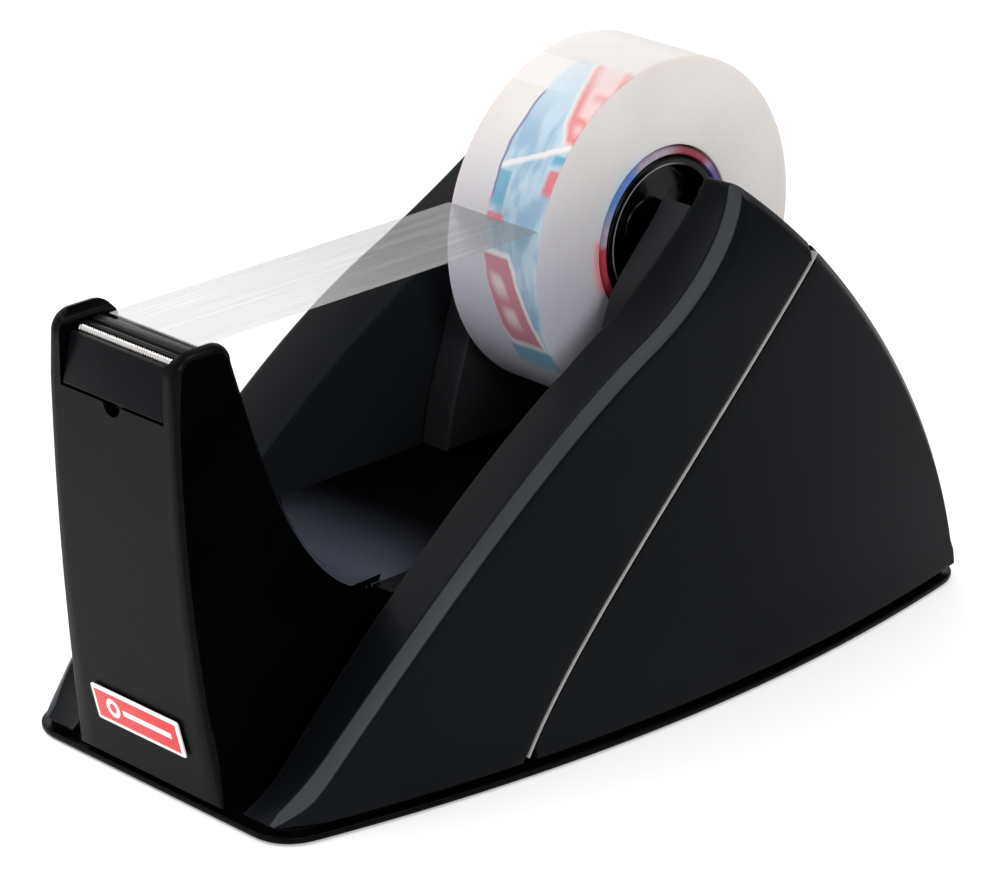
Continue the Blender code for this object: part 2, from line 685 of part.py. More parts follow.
def ballast_weight():
    """A cast block in the room under the trough, with cut edges."""
    half = CHANNEL_HALF - GAP - SHELL - 1.5 * MM
    front = TROUGH_FRONT_Y + SHELL + 1.5 * MM
    back = TROUGH_BACK_Y
    cut = BALLAST_BEVEL
    low = TRAY_TOP + GAP
    rings = []
    high = low + BALLAST_HEIGHT
    for z, inset in ((low, cut), (low + cut, 0.0), (high - cut, 0.0), (high, cut)):
        right = [(half - inset - cut, front + inset), (half - inset, front + inset + cut)]
        right += [(half - inset, back - inset - cut), (half - inset - cut, back - inset)]
        left = [(-x, y) for x, y in reversed(right)]
        rings.append([(x, y, z) for x, y in [*right, *left]])
    loft("ballast_weight", rings, material("cast_iron", (0.09, 0.09, 0.095), 0.7, 0.6))


def roll_group():
    """The axle stays in its slots. The hub halves, the core and the wound tape turn on it."""
    axis = bpy.data.objects.new("roll_axis", None)
    axis.location = (0.0, AXLE_Y, AXLE_HEIGHT)
    bpy.context.scene.collection.objects.link(axis)
    half = TAPE_WIDTH / 2
    hub = CORE_BORE / 2 - GAP
    bore = AXLE_DIAMETER / 2 + BEARING_CLEARANCE
    boss = bore + BEARING_WALL
    web = half - HUB_WEB_DEPTH
    boss_end = SUPPORT_INNER - GAP
    profile = [
        (GAP / 2, bore),
        (GAP / 2, boss),
        (web - HUB_WEB_THICKNESS, boss),
        (web - HUB_WEB_THICKNESS, hub - HUB_RIM_THICKNESS),
        (GAP / 2, hub - HUB_RIM_THICKNESS),
        (GAP / 2, hub),
        (half, hub),
        (half, hub - HUB_RIM_THICKNESS),
        (web, hub - HUB_RIM_THICKNESS),
        (web, boss),
        (boss_end, boss),
        (boss_end, bore),
    ]
    pieces = []
    for word, side in SIDES.items():
        mirrored = [(side * x, radius) for x, radius in profile]
        pieces.append(turned(f"hub_{word}_half", mirrored, body_plastic("hub_black")))
    core = CORE_DIAMETER / 2
    pieces.append(tube("tape_core", CORE_BORE / 2, core, material("core_print", (0.55, 0.7, 0.8), 0.5)))
    film = material("matte_film", (0.85, 0.84, 0.83), 0.45)
    pieces.append(tube("tape_roll", core + GAP, ROLL_DIAMETER / 2, film))
    end = CHANNEL_HALF - 2 * GAP
    radius = AXLE_DIAMETER / 2
    cut = 0.5 * MM
    rod = [(-end, 0.0), (-end, radius - cut), (cut - end, radius)]
    rod += [(end - cut, radius), (end, radius - cut), (end, 0.0)]
    pieces.append(turned("roll_axle", rod, material("axle_plastic", (0.02, 0.02, 0.022), 0.4)))
    for piece in pieces:
        piece.parent = axis


def tube(name, inner, outer, finish):
    half = TAPE_WIDTH / 2
    return turned(name, [(-half, inner), (half, inner), (half, outer), (-half, outer)], finish, 72)


def tape_strip():
    """The free film, level from where it leaves the roll to just behind the blade."""
    low = AXLE_HEIGHT + STRIP_HEIGHT
    reach = ROLL_DIAMETER / 2 + GAP
    back = AXLE_Y - math.sqrt(reach**2 - STRIP_HEIGHT**2) - 0.1 * MM
    front = blade_front() + BLADE_THICKNESS + 0.6 * MM
    half = TAPE_WIDTH / 2
    film = material("clear_film", (0.82, 0.82, 0.82), 0.3)
    box("tape_strip", (-half, front, low), (half, back, low + STRIP_THICKNESS), film)


def main():
    clear_scene()
    anti_slip_pad()
    base_tray()
    base_screws()
    ballast_weight()
    centre_body()
    for word, side in SIDES.items():
        side_pieces(word, side)
    cutter_holder()
    cutter_blade()
    front_badge()
    roll_group()
    tape_strip()


main()
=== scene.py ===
"""A weighted desk tape dispenser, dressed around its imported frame.

Shapes are worked out in millimetres in the frame's own axes: X along the roll's axle, the cutter
toward -Y, Z up. Each piece is one or more closed surfaces made from whole arrays.
"""

import math

import bpy
import numpy as np
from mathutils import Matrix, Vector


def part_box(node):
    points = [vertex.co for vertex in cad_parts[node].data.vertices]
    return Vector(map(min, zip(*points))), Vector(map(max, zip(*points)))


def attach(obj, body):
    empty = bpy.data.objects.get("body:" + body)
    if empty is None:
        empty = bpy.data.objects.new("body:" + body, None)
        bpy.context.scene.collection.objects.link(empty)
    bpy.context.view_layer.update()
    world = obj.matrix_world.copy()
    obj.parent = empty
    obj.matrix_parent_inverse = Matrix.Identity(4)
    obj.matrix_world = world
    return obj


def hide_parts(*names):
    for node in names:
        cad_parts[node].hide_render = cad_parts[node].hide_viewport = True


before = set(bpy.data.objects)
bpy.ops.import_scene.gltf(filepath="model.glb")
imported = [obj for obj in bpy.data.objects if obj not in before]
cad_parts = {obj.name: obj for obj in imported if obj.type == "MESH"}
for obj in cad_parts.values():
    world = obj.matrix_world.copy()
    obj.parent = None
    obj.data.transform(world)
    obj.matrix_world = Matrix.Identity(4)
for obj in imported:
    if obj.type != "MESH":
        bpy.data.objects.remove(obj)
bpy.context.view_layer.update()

MM = 0.001


def ends_of(node):
    """Lowest and highest corner of a frame node, in millimetres."""
    low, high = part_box(node)
    return np.array(low) / MM, np.array(high) / MM


AXLE_LOW, AXLE_HIGH = ends_of("roll_axle")
ROLL_LOW, ROLL_HIGH = ends_of("tape_roll")
TRAY_LOW, TRAY_HIGH = ends_of("base_tray")
HOLDER_LOW, HOLDER_HIGH = ends_of("cutter_holder")
STRIP_LOW, STRIP_HIGH = ends_of("tape_strip")

GAP = 0.3
AXLE_Y = float(AXLE_LOW[1] + AXLE_HIGH[1]) / 2
AXLE_Z = float(AXLE_LOW[2] + AXLE_HIGH[2]) / 2
ROLL_RADIUS = float(ROLL_HIGH[2] - ROLL_LOW[2]) / 2
TAPE_HALF = float(ROLL_HIGH[0])
BASE_HALF_WIDTH = float(TRAY_HIGH[0])
BASE_FRONT = float(TRAY_LOW[1])
BASE_BACK = float(TRAY_HIGH[1])

BOW_RADIUS = 310.0
BOW_Y = 14.4
SIDE_DRAFT = math.tan(math.radians(8.0))
TUMBLE_RADIUS = 62.0
TUMBLE_START = -5.0
NOSE_RADIUS = 17.0
NOSE_LENGTH = 8.7
CORNER_RADIUS = 6.0
RIM_LEDGE = 0.6
RIM_DROP = 2.0
CHAMFER_DROP = 1.7
CHAMFER_WIDTH = 1.5
FLAT_BAND_DROP = 14.0
LEAST_STEP = 0.03
WALL_BOTTOM = 2.5
WALL_FRONT = BASE_FRONT + 1.1
WALL_BACK = BASE_BACK - RIM_LEDGE
CHANNEL_HALF = 19.2
DIP = (-23.9, -4.8)
HORN = (-2.1, 12.0)
SHOULDER = (1.5, 10.7)
SEAM = ((-27.6, 2.5), (-13.6, 24.0), (41.8, 62.7))
TRIM_ROOM = 0.45
COVER_THICKNESS = 2.2

POST_FRONT = BASE_FRONT - 4.9
POST_LEAN = 4.9
POST_WAIST = 62.0
POST_HALF = 14.0
POST_FLARE = 2.1
POST_TOP = 72.7
POST_DEPTH = 11.0
POST_SHOULDER = 69.4
TROUGH_FLOOR = 28.0
TROUGH_FRONT = BASE_FRONT + 30.8
TROUGH_BACK = 38.4
CRADLE_RADIUS = 18.0
SEAT_HALF = 11.2
NOTCH_RADIUS = 1.8
NOTCH_FADE = 57.0  # below this height the front is not pressed down by the notch
SEAT_BACK = float(HOLDER_HIGH[1]) + GAP
SIDES = {"left": -1.0, "right": 1.0}


# ---------------------------------------------------------------- shapes


def solid(name, shells, smooth_below=32.0, highlight_share=None):
    """One object from closed shells, each (points, faces), turned so that its volume is positive.

    The volume is the sum over triangles of the corner triple product, divided by six. The
    optional share per point of painted highlight is kept on the mesh as the painted_glint attribute.
    """
    points, faces, start = [], [], 0
    for shell_points, shell_faces in shells:
        fan = [(f[0], f[i], f[i + 1]) for f in shell_faces for i in range(1, len(f) - 1)]
        a, b, c = (shell_points[np.array(fan)[:, k]] for k in range(3))
        volume = np.einsum("ij,ij->i", a, np.cross(b, c)).sum()
        turned = shell_faces if volume > 0 else [f[::-1] for f in shell_faces]
        faces += [[start + i for i in f] for f in turned]
        points.append(shell_points * MM)
        start += len(shell_points)
    mesh = bpy.data.meshes.new(name)
    mesh.from_pydata(np.vstack(points).tolist(), [], faces)
    mesh.shade_smooth()
    mesh.set_sharp_from_angle(angle=math.radians(smooth_below))
    if highlight_share is not None:
        mesh.attributes.new("painted_glint", "FLOAT", "POINT").data.foreach_set("value", highlight_share.astype(np.float32))
    item = bpy.data.objects.new(name, mesh)
    bpy.context.scene.collection.objects.link(item)
    return item


def lofted(rings, caps=None, closed=False):
    """Points and faces of a skin over rings, an array of (stations, around, 3).

    Rings wrap round. The ends are closed by flat caps, or joined to each other if closed.
    """
    stations, around = rings.shape[:2]
    index = np.arange(stations * around).reshape(stations, around)
    if closed:
        index = np.vstack([index, index[:1]])
    here, there = index[:-1], index[1:]
    quads = np.stack([here, np.roll(here, -1, 1), np.roll(there, -1, 1), there], axis=-1)
    faces = quads.reshape(-1, 4).tolist()
    if not closed:
        for cap in caps or [list(range(around))]:
            faces.append([int(index[0, i]) for i in reversed(cap)])
            faces.append([int(index[-1, i]) for i in cap])
    return rings.reshape(-1, 3), faces


def bezier(points, count, start=0.0, end=1.0):
    """Points at even steps along a Bezier curve of any degree, by repeated interpolation."""
    t = np.linspace(start, end, count)[:, None, None]
    row = np.asarray(points, float)[None]
    while row.shape[1] > 1:
        row = row[:, :-1] + (row[:, 1:] - row[:, :-1]) * t
    return row[:, 0]


def arc(before, corner, after, radius, steps=4):
    """A corner of each section, rounded by a parabola that touches both of its edges.

    Inputs are (stations, 3) or (stations, 2) arrays, the result is (stations, steps, same).
    """
    to_before, to_after = before - corner, after - corner
    long_before = np.linalg.norm(to_before, axis=-1, keepdims=True) + 1e-9
    long_after = np.linalg.norm(to_after, axis=-1, keepdims=True) + 1e-9
    reach = np.minimum(np.reshape(radius, (-1, 1)), 0.45 * np.minimum(long_before, long_after))
    first = (corner + to_before / long_before * reach)[:, None]
    last = (corner + to_after / long_after * reach)[:, None]
    t = np.linspace(0.0, 1.0, steps)[None, :, None]
    return (1 - t) ** 2 * first + 2 * t * (1 - t) * corner[:, None] + t**2 * last


def rounded_loop(corners, radii, steps=5):
    """A flat polygon with each corner rounded by its own radius."""
    corners = np.asarray(corners, float)
    turned = arc(np.roll(corners, 1, 0), corners, np.roll(corners, -1, 0), radii, steps)
    return turned.reshape(-1, 2)


def inset_loop(loop, amount):
    """A closed flat loop moved inwards along its normals."""
    along = np.roll(loop, -1, 0) - np.roll(loop, 1, 0)
    normal = np.stack([along[:, 1], -along[:, 0]], axis=1)
    normal /= np.linalg.norm(normal, axis=1, keepdims=True) + 1e-9
    after = np.roll(loop, -1, 0)
    turn = np.sign(np.sum(loop[:, 0] * after[:, 1] - loop[:, 1] * after[:, 0]))
    return loop - turn * normal * np.reshape(amount, (-1, 1))


def slab(loop, near, far, radius, place):
    """A flat loop carried from near to far, with its two outer edges rounded by a quarter turn.

    place(a, b, depth) puts loop coordinates and depth into space.
    """
    angle = np.linspace(0.0, math.pi / 2, 6)
    depth = near + math.copysign(radius, far - near) * (1 - np.cos(angle))
    depths = np.concatenate([depth, (near + far - depth)[::-1]])
    insets = radius * (1 - np.sin(angle))
    insets = np.concatenate([insets, insets[::-1]])
    rings = [place(*inset_loop(loop, inset).T, d) for inset, d in zip(insets, depths)]
    return lofted(np.array(rings))


def along_x(y, z, depth):
    return np.stack([np.full_like(y, depth), y, z], axis=1)


def turned_profile(profile, segments=128, centre=(AXLE_Y, AXLE_Z)):
    """A closed (x, radius) profile turned about the axle's line: y and z are radius times
    cosine and sine of the angle."""
    angle = np.linspace(0.0, 2 * math.pi, segments, endpoint=False)[:, None]
    x, radius = profile.T
    y, z = centre[0] + radius * np.cos(angle), centre[1] + radius * np.sin(angle)
    return lofted(np.stack([np.broadcast_to(x, y.shape), y, z], axis=-1), closed=True)


def inward_normals(profile):
    """Unit normals toward the body's inside, for a (y, z) profile that runs front to back."""
    step = np.gradient(profile, axis=0)
    normals = np.stack([step[:, 1], -step[:, 0]], axis=1)
    return normals / np.linalg.norm(normals, axis=1, keepdims=True)


def inner_profile(profile, drop):
    """The profile moved inwards by drop, less near its low ends, always going back."""
    room = 0.4 * (profile[:, 1] - WALL_BOTTOM)
    moved = profile + inward_normals(profile) * np.minimum(drop, room)[:, None]
    least = LEAST_STEP * np.arange(len(moved))
    moved[:, 0] = np.maximum.accumulate(moved[:, 0] - least) + least
    return moved


def side_x(y, z):
    """Half width of the side walls: a shallow bow from above, leaning in as it rises, with
    parabolas that narrow the crown and the nose."""
    bow = (y - BOW_Y) ** 2 / (2 * BOW_RADIUS)
    tumble = np.maximum(z - AXLE_Z - TUMBLE_START, 0.0) ** 2 / (2 * TUMBLE_RADIUS)
    nose = np.maximum(WALL_FRONT + NOSE_LENGTH - y, 0.0) ** 2 / (2 * NOSE_RADIUS)
    return BASE_HALF_WIDTH - RIM_LEDGE - bow - tumble - nose - SIDE_DRAFT * (z - WALL_BOTTOM)


def on_side(y, z, depth=0.0):
    """Points this deep under the right side's surface."""
    return np.stack([side_x(y, z) - depth, y, z], axis=-1)


def from_axle(offset):
    return (AXLE_Y + offset[0], AXLE_Z + offset[1])


def back_curve(count, start=0.0):
    top, foot = from_axle(SHOULDER), (WALL_BACK, WALL_BOTTOM + 3.0)
    reach, fall = foot[0] - top[0], top[1] - foot[1]
    lean = (top[0] + 0.455 * reach, top[1] - 0.237 * fall)
    drop = (foot[0] - 0.034 * reach, foot[1] + 0.372 * fall)
    return bezier((top, lean, drop, foot), count, start)


def rim_profile():
    """The ridge of a side wall as (y, z): a ramp, a dip, a rounded horn and a falling back."""
    foot = (WALL_FRONT, WALL_BOTTOM + 0.3)
    dip, horn, shoulder = from_axle(DIP), from_axle(HORN), from_axle(SHOULDER)
    run, climb = dip[0] - foot[0], dip[1] - foot[1]
    ramp = [(foot[0] + a * run, foot[1] + b * climb) for a, b in ((0.37, 0.49), (0.70, 0.83))]
    run, climb = horn[0] - dip[0], horn[1] - dip[1]
    rise = [(dip[0] + a * run, dip[1] + b * climb) for a, b in ((0.46, 0.30), (0.86, 0.67))]
    crown = [(horn[0] + 0.6, horn[1] + 0.7), (shoulder[0] - 1.2, shoulder[1] + 1.1)]
    stretches = (
        bezier((foot, *ramp, dip), 56),
        bezier((dip, *rise, horn), 30),
        bezier((horn, *crown, shoulder), 14),
        back_curve(64),
    )
    return np.vstack([stretch[:-1] for stretch in stretches[:-1]] + [stretches[-1]])


def rim_lines():
    """Ridge, inner edge and chamfer foot of a side wall, each (stations, 2)."""
    ridge = rim_profile()
    below = (AXLE_Z - ridge[:, 1]) / FLAT_BAND_DROP
    inner = inner_profile(ridge, RIM_DROP * np.clip(below + 0.37, 0.08, 1.0))
    return ridge, inner, inner_profile(ridge, CHAMFER_DROP)


def seam_height(y, shift):
    """Height of the seam over y, after moving the seam back by shift."""
    line = bezier(SEAM, 240, -0.1, 1.2)
    line = line + inward_normals(line) * shift
    return np.interp(y, line[:, 0], line[:, 1])


def between(low, high, count, depth):
    """Points on the side's surface on upright lines between two (stations, 3) rows."""
    t = np.linspace(0.0, 1.0, count + 2)[1:-1][None, :]
    y = low[:, 1:2] + (high[:, 1:2] - low[:, 1:2]) * t
    z = low[:, 2:3] + (high[:, 2:3] - low[:, 2:3]) * t
    return on_side(y, z, np.reshape(depth, (-1, 1)))


def chained(corners, radii, steps, run_after, depth, count=16):
    """Sections of rounded corners, with a run of points on the side's surface after one."""
    number = len(corners)
    parts = []
    for i in range(number):
        turn = arc(corners[i - 1], corners[i], corners[(i + 1) % number], radii[i], steps[i])
        if i == run_after + 1:
            parts.append(between(parts[-1][:, -1], turn[:, 0], count, depth))
        parts.append(turn)
    return np.concatenate(parts, axis=1)


def wall_rings():
    """Sections of the right wall, upright, along its rim.

    Ahead of the seam's head the outer skin stops at the seam, and below it the wall is set in
    by the cover's thickness. Behind the head the whole outer side is set in.
    """
    ridge, inner, chamfer = rim_lines()
    ry, rz = ridge.T
    cy, cz = chamfer.T
    seat = COVER_THICKNESS + GAP
    seam = seam_height(cy, -TRIM_ROOM)
    behind = np.argmax(seam > cz - 0.25)
    foot = np.full_like(cy, WALL_BOTTOM)
    width = np.minimum(CHAMFER_WIDTH, 2.5 * (rz - WALL_BOTTOM))
    low_inner = np.stack([np.full_like(ry, CHANNEL_HALF), inner[:, 0], foot], axis=1)
    top_inner = np.stack([np.full_like(ry, CHANNEL_HALF), *inner.T], axis=1)

    edge = np.maximum(seam, WALL_BOTTOM)
    ahead = slice(0, behind)
    open_foot = (seam <= WALL_BOTTOM)[ahead]
    front = [
        low_inner[ahead],
        on_side(cy, foot, np.where(seam <= WALL_BOTTOM, seat + 2.5, seat))[ahead],
        on_side(cy, edge, seat)[ahead],
        on_side(cy, edge)[ahead],
        on_side(cy, cz)[ahead],
        (on_side(ry, rz) - np.stack([width, 0 * width, 0 * width], axis=1))[ahead],
        top_inner[ahead],
    ]
    round_front = [0.3, 0.05, 0.05, np.where(open_foot, 0.3, 0.15), 0.9, 0.8, 0.6]
    counts = [3, 2, 2, 3, 6, 6, 4]
    front = chained(front, round_front, counts, 3, 0.0)

    rest = slice(behind - 1, None)
    low, high = foot + 0.3 * (cz - foot), foot + 0.5 * (cz - foot)
    rear = [
        low_inner[rest],
        on_side(cy, foot, seat)[rest],
        on_side(cy, low, seat)[rest],
        on_side(cy, high, seat)[rest],
        on_side(cy, np.maximum(cz - 0.8, foot + 0.8 * (cz - foot)), seat)[rest],
        on_side(ry, rz, seat)[rest],
        top_inner[rest],
    ]
    rear = chained(rear, [0.3, 0.05, 0.05, 0.05, 0.05, 0.3, 0.6], counts, 3, seat)
    return np.concatenate([front, rear], axis=0)


CHAMFER_POINTS = (29, 35)  # the points of a wall section, ahead of the seam's head, on its chamfer


def chamfer_glint_share(rings):
    """Share of painted highlight: full along the chamfer up to the horn, none behind it."""
    share = np.zeros(rings.shape[:2])
    chamfer = slice(CHAMFER_POINTS[0], CHAMFER_POINTS[1])
    share[:, chamfer] = np.clip((AXLE_Y + HORN[0] + 5.0 - rings[:, chamfer, 1]) / 5.0, 0.0, 1.0)
    return share.ravel()


def cover_rings():
    """Sections of the right cover: a layer under the side's surface, behind the seam."""
    ridge, inner, chamfer = rim_lines()
    ry, rz = ridge.T
    cy, cz = chamfer.T
    seam = seam_height(cy, TRIM_ROOM)
    first = np.argmax(seam > WALL_BOTTOM + 0.4)
    behind = np.argmax(seam > cz - 0.25)
    foot = np.full_like(cy, WALL_BOTTOM)
    width = np.minimum(CHAMFER_WIDTH, 2.5 * (rz - WALL_BOTTOM))
    low, mid = slice(first, behind), slice(behind - 1, None)
    seam_part = [
        on_side(cy, foot, COVER_THICKNESS)[low],
        on_side(cy, foot)[low],
        on_side(cy, seam)[low],
        on_side(cy, seam, COVER_THICKNESS / 2)[low],
        on_side(cy, seam, COVER_THICKNESS)[low],
    ]
    crest = on_side(ry, rz) - np.stack([width, 0 * width, 0 * width], axis=1)
    inside = np.stack([np.full_like(ry, CHANNEL_HALF), *inner.T], axis=1)
    share = (COVER_THICKNESS - width) / (crest[:, 0] - CHANNEL_HALF)
    lip = crest + (inside - crest) * np.clip(share, 0.02, 0.5)[:, None]
    rim_part = [
        on_side(cy, foot, COVER_THICKNESS)[mid],
        on_side(cy, foot)[mid],
        on_side(cy, cz)[mid],
        crest[mid],
        lip[mid],
    ]
    counts = [2, 3, 6, 6, 2]
    seam_part = chained(seam_part, [0.05, 0.3, 0.15, 0.05, 0.05], counts, 1, 0.0)
    rim_part = chained(rim_part, [0.05, 0.3, 0.9, 0.5, 0.05], counts, 1, 0.0)
    return np.concatenate([seam_part, rim_part], axis=0)


def trim_rings():
    """A strip along the seam with a shallow crown, flush with the side."""
    line = bezier(SEAM, 120, 0.015, 1.0)
    normal = inward_normals(line)
    across = np.array([-1.0, 1.0, 1.0, 0.6, -0.6, -1.0])[None, :, None] * 0.19
    depth = np.array([1.2, 1.2, 0.1, -0.02, -0.02, 0.1])[None, :]
    place = line[:, None] + normal[:, None] * across
    return on_side(place[..., 0], place[..., 1], depth)


def footprint(inset, steps=12):
    """The base outline as (x, y): flat front and back, bowed sides, round corners."""
    front, back = BASE_FRONT + inset, BASE_BACK - inset
    radius = max(CORNER_RADIUS - inset, 1.0)

    def edge(y):
        return BASE_HALF_WIDTH - inset - (y - BOW_Y) ** 2 / (2 * BOW_RADIUS)

    def corner(flat, inward):
        start = (edge(flat) - radius, flat)
        end = (edge(flat + inward * radius), flat + inward * radius)
        return bezier((start, (edge(flat), flat), end), steps)

    run = np.linspace(front + radius, back - radius, 50)[1:-1]
    right = np.vstack([corner(front, 1), np.stack([edge(run), run], 1), corner(back, -1)[::-1]])
    return np.vstack([right, right[::-1] * (-1.0, 1.0)])


def tray_shell():
    """Footprints at rising heights, moved in step by step: bevel, rim, shadow groove, top."""
    angle = np.linspace(0.0, math.pi / 2, 6)
    bevel = [(0.5 * (1 - math.sin(a)), 0.8 - 0.5 * math.cos(a)) for a in angle]
    ledge = [(0.25 * (1 - math.cos(a)), 1.15 + 0.25 * math.sin(a)) for a in angle]
    underside = [(5.1, 1.2), (5.1, 0.3), (3.0, 0.3)]
    groove = [(1.6, 1.4), (1.6, 2.2), (5.2, 2.2), (5.2, 4.4)]
    steps = [*underside, *bevel, *ledge, *groove]
    rings = []
    for inset, height in steps:
        outline = footprint(inset)
        rings.append(np.column_stack([outline, np.full(len(outline), height)]))
    return lofted(np.array(rings))


def post_front(z):
    """The front face leans out as it rises, by a parabola with its crest at the waist."""
    return POST_FRONT + POST_LEAN * ((POST_WAIST - z) / (POST_WAIST - WALL_BOTTOM)) ** 2


def post_half(z):
    share = np.maximum(POST_WAIST - z, 0.0) / (POST_WAIST - WALL_BOTTOM)
    return POST_HALF + POST_FLARE * share**2


def post_shell():
    """The post as (y, z) outlines carried across, so that its seat and cheeks are one skin.

    Each outline runs up the front, over the top and down the back. Between the cheeks the top
    part steps down into the holder's seat, and a half-round notch is cut below its front edge.
    """
    top, floor = (POST_FRONT + POST_DEPTH, POST_SHOULDER), (TROUGH_FRONT + 2.0, TROUGH_FLOOR)
    reach, fall = floor[0] - top[0], top[1] - floor[1]
    lean, sweep = (top[0] + 0.233 * reach, top[1] - 0.565 * fall), (top[0] + 0.571 * reach, floor[1])
    curve = bezier((floor, sweep, lean, top), 90)
    rear = curve[curve[:, 1] < POST_WAIST - 0.3][::2]
    waist_back = np.interp(POST_WAIST, curve[:, 1], curve[:, 0])
    low = np.array([WALL_BOTTOM, 9.0, 15.0, 21.0, 27.9])
    waist = POST_WAIST - np.array([0.04, 0.02, 0.0])
    levels = np.concatenate([low, rear[:, 1] + 0.02, waist])
    back_y = np.concatenate([np.full(5, TROUGH_FRONT - 0.05), rear[:, 0], np.full(3, waist_back)])
    up = np.stack([post_front(levels), levels], axis=1)
    down = np.stack([back_y, levels], axis=1)[::-1]

    rise = np.linspace(POST_WAIST, POST_SHOULDER, 9)[1:]
    rise_front = np.stack([post_front(rise), rise], axis=1)
    rise_back = np.stack([np.interp(rise, curve[:, 1], curve[:, 0]), rise], axis=1)[::-1]
    angle = np.linspace(0.0, math.pi / 2, 9)[1:]
    bulge = np.stack([3.5 * (1 - np.cos(angle)), (POST_TOP - POST_SHOULDER) * np.sin(angle)], axis=1)
    crown_front = rise_front[-1] + bulge
    crown_back = (rise_back[0] + bulge * (-1.0, 1.0))[::-1]
    cheek = np.vstack([rise_front, crown_front, crown_back, rise_back])
    shelf_z = float(HOLDER_HIGH[2]) - 1.3
    y = np.concatenate(
        [
            np.linspace(up[-1, 0], SEAT_BACK, 9)[1:],
            np.full(8, SEAT_BACK),
            np.linspace(SEAT_BACK, rise_back[0, 0], 9)[1:],
        ]
    )
    z = np.concatenate(
        [np.full(8, POST_WAIST), np.linspace(POST_WAIST, shelf_z, 9)[1:], np.full(8, shelf_z)]
    )
    seat = np.vstack([np.stack([y, z], axis=1), rise_back - (0.0, 0.02)])

    full = np.vstack([up, cheek, down])
    cut = np.vstack([up, seat, down])
    half = np.concatenate([post_half(levels), np.full(len(cheek), POST_HALF), post_half(levels)[::-1]])
    swell = np.linspace(1.0, 1.5, 8)
    edge = np.full(len(levels), 1.0)
    radius = np.concatenate([edge, swell, np.full(16, 1.5), swell[::-1], edge])

    right = []
    for x in (2.0, 4.0, 8.0, SEAT_HALF):
        right.append(np.column_stack([np.full(len(cut), x), cut]))
    for step in np.linspace(0.0, 1.0, 7):
        x = SEAT_HALF + 1.2 * step
        fillet = full.copy()
        cap = float(HOLDER_HIGH[2]) + 0.1 + 1.75 * step**2.2
        fillet[:, 1] = np.minimum(fillet[:, 1], cap)
        right.append(np.column_stack([np.full(len(full), x), fillet]))
    for angle in np.linspace(0.0, math.pi / 2, 7)[1:]:
        x = half - radius + radius * math.sin(angle)
        moved = inset_loop(full, radius * (1 - math.cos(angle)))
        moved[0, 1] = moved[-1, 1] = WALL_BOTTOM
        right.append(np.column_stack([x, moved]))
    right = np.array(right)

    notch = []
    last = len(up) - 1
    for x in (NOTCH_RADIUS - 0.01) * np.sin(np.linspace(-math.pi / 2, math.pi / 2, 17)):
        ring = np.column_stack([np.full(len(cut), x), cut])
        bite = POST_WAIST - math.sqrt(NOTCH_RADIUS**2 - x**2)
        front = float(post_front(np.array(bite)))
        squeeze = (bite - NOTCH_FADE) / (POST_WAIST - NOTCH_FADE)
        below = ring[: last - 2]
        pressed = NOTCH_FADE + (below[:, 2] - NOTCH_FADE) * squeeze
        below[:, 2] = np.where(below[:, 2] > NOTCH_FADE, pressed, below[:, 2])
        ring[last - 2, 1:] = front, bite
        ring[last - 1, 1:] = front + 1.2, bite
        ring[last, 1:] = front + 1.2, POST_WAIST
        notch.append(ring)
    rings = np.concatenate([right[::-1] * (-1.0, 1.0, 1.0), np.array(notch), right], axis=0)

    total, rungs = rings.shape[1], len(levels)
    ladder = [[k, k + 1, total - 2 - k, total - 1 - k] for k in range(rungs - 1)]
    return lofted(rings, [*ladder, list(range(rungs - 1, total - rungs + 1))])


def trough_shell():
    """The (y, z) outline of trough, cradle and back panel, carried across the channel."""
    centre = (TROUGH_BACK, TROUGH_FLOOR + CRADLE_RADIUS)
    angle = np.linspace(0.0, math.radians(70.0), 28)
    cradle = centre + CRADLE_RADIUS * np.stack([np.sin(angle), -np.cos(angle)], axis=1)
    back = inner_profile(back_curve(40, 0.53), RIM_DROP)
    join = arc(cradle[-1:], back[:1], back[1:2], 0.4, 4)[0]
    front = np.array([(TROUGH_FRONT, WALL_BOTTOM), (TROUGH_FRONT, TROUGH_FLOOR)])
    outline = np.vstack([front, cradle, join, back[1:], [(back[-1, 0], WALL_BOTTOM)]])
    half = CHANNEL_HALF - GAP
    rings = [along_x(*outline.T, x) for x in (-half, half)]
    return lofted(np.array(rings))


def support_loop():
    """Outline of an axle support, from the axle: a leaning plate with an open slot on top."""
    slot = 3.3
    angle = np.linspace(0.0, -math.pi, 24)
    turn = np.stack([slot * np.cos(angle), slot * np.sin(angle)], axis=1)
    bottom = TROUGH_FLOOR + GAP - AXLE_Z
    right = [(10.0, bottom), (14.0, -20.0), (12.0, -4.0), (6.5, 6.0), (slot + 1.0, 8.2), (slot, 7.4)]
    left = [(-slot, 7.4), (-slot - 1.0, 8.2), (-6.1, 5.8), (-16.2, -4.6), (-19.1, -15.1)]
    left += [(-23.2, -26.9), (-25.0, bottom)]
    right = arc_open(np.array([left[-1], *right, turn[0]]), (0.3, 12.0, 6.0, 3.0, 0.8, 0.3))
    left = arc_open(np.array([turn[-1], *left, (10.0, bottom)]), (0.3, 0.8, 3.0, 6.0, 8.0, 9.0, 0.3))
    return np.vstack([right, turn, left]) + (AXLE_Y, AXLE_Z)


def arc_open(corners, radii, steps=7):
    """The inner corners of an open polygon, rounded."""
    return arc(corners[:-2], corners[1:-1], corners[2:], radii, steps).reshape(-1, 2)


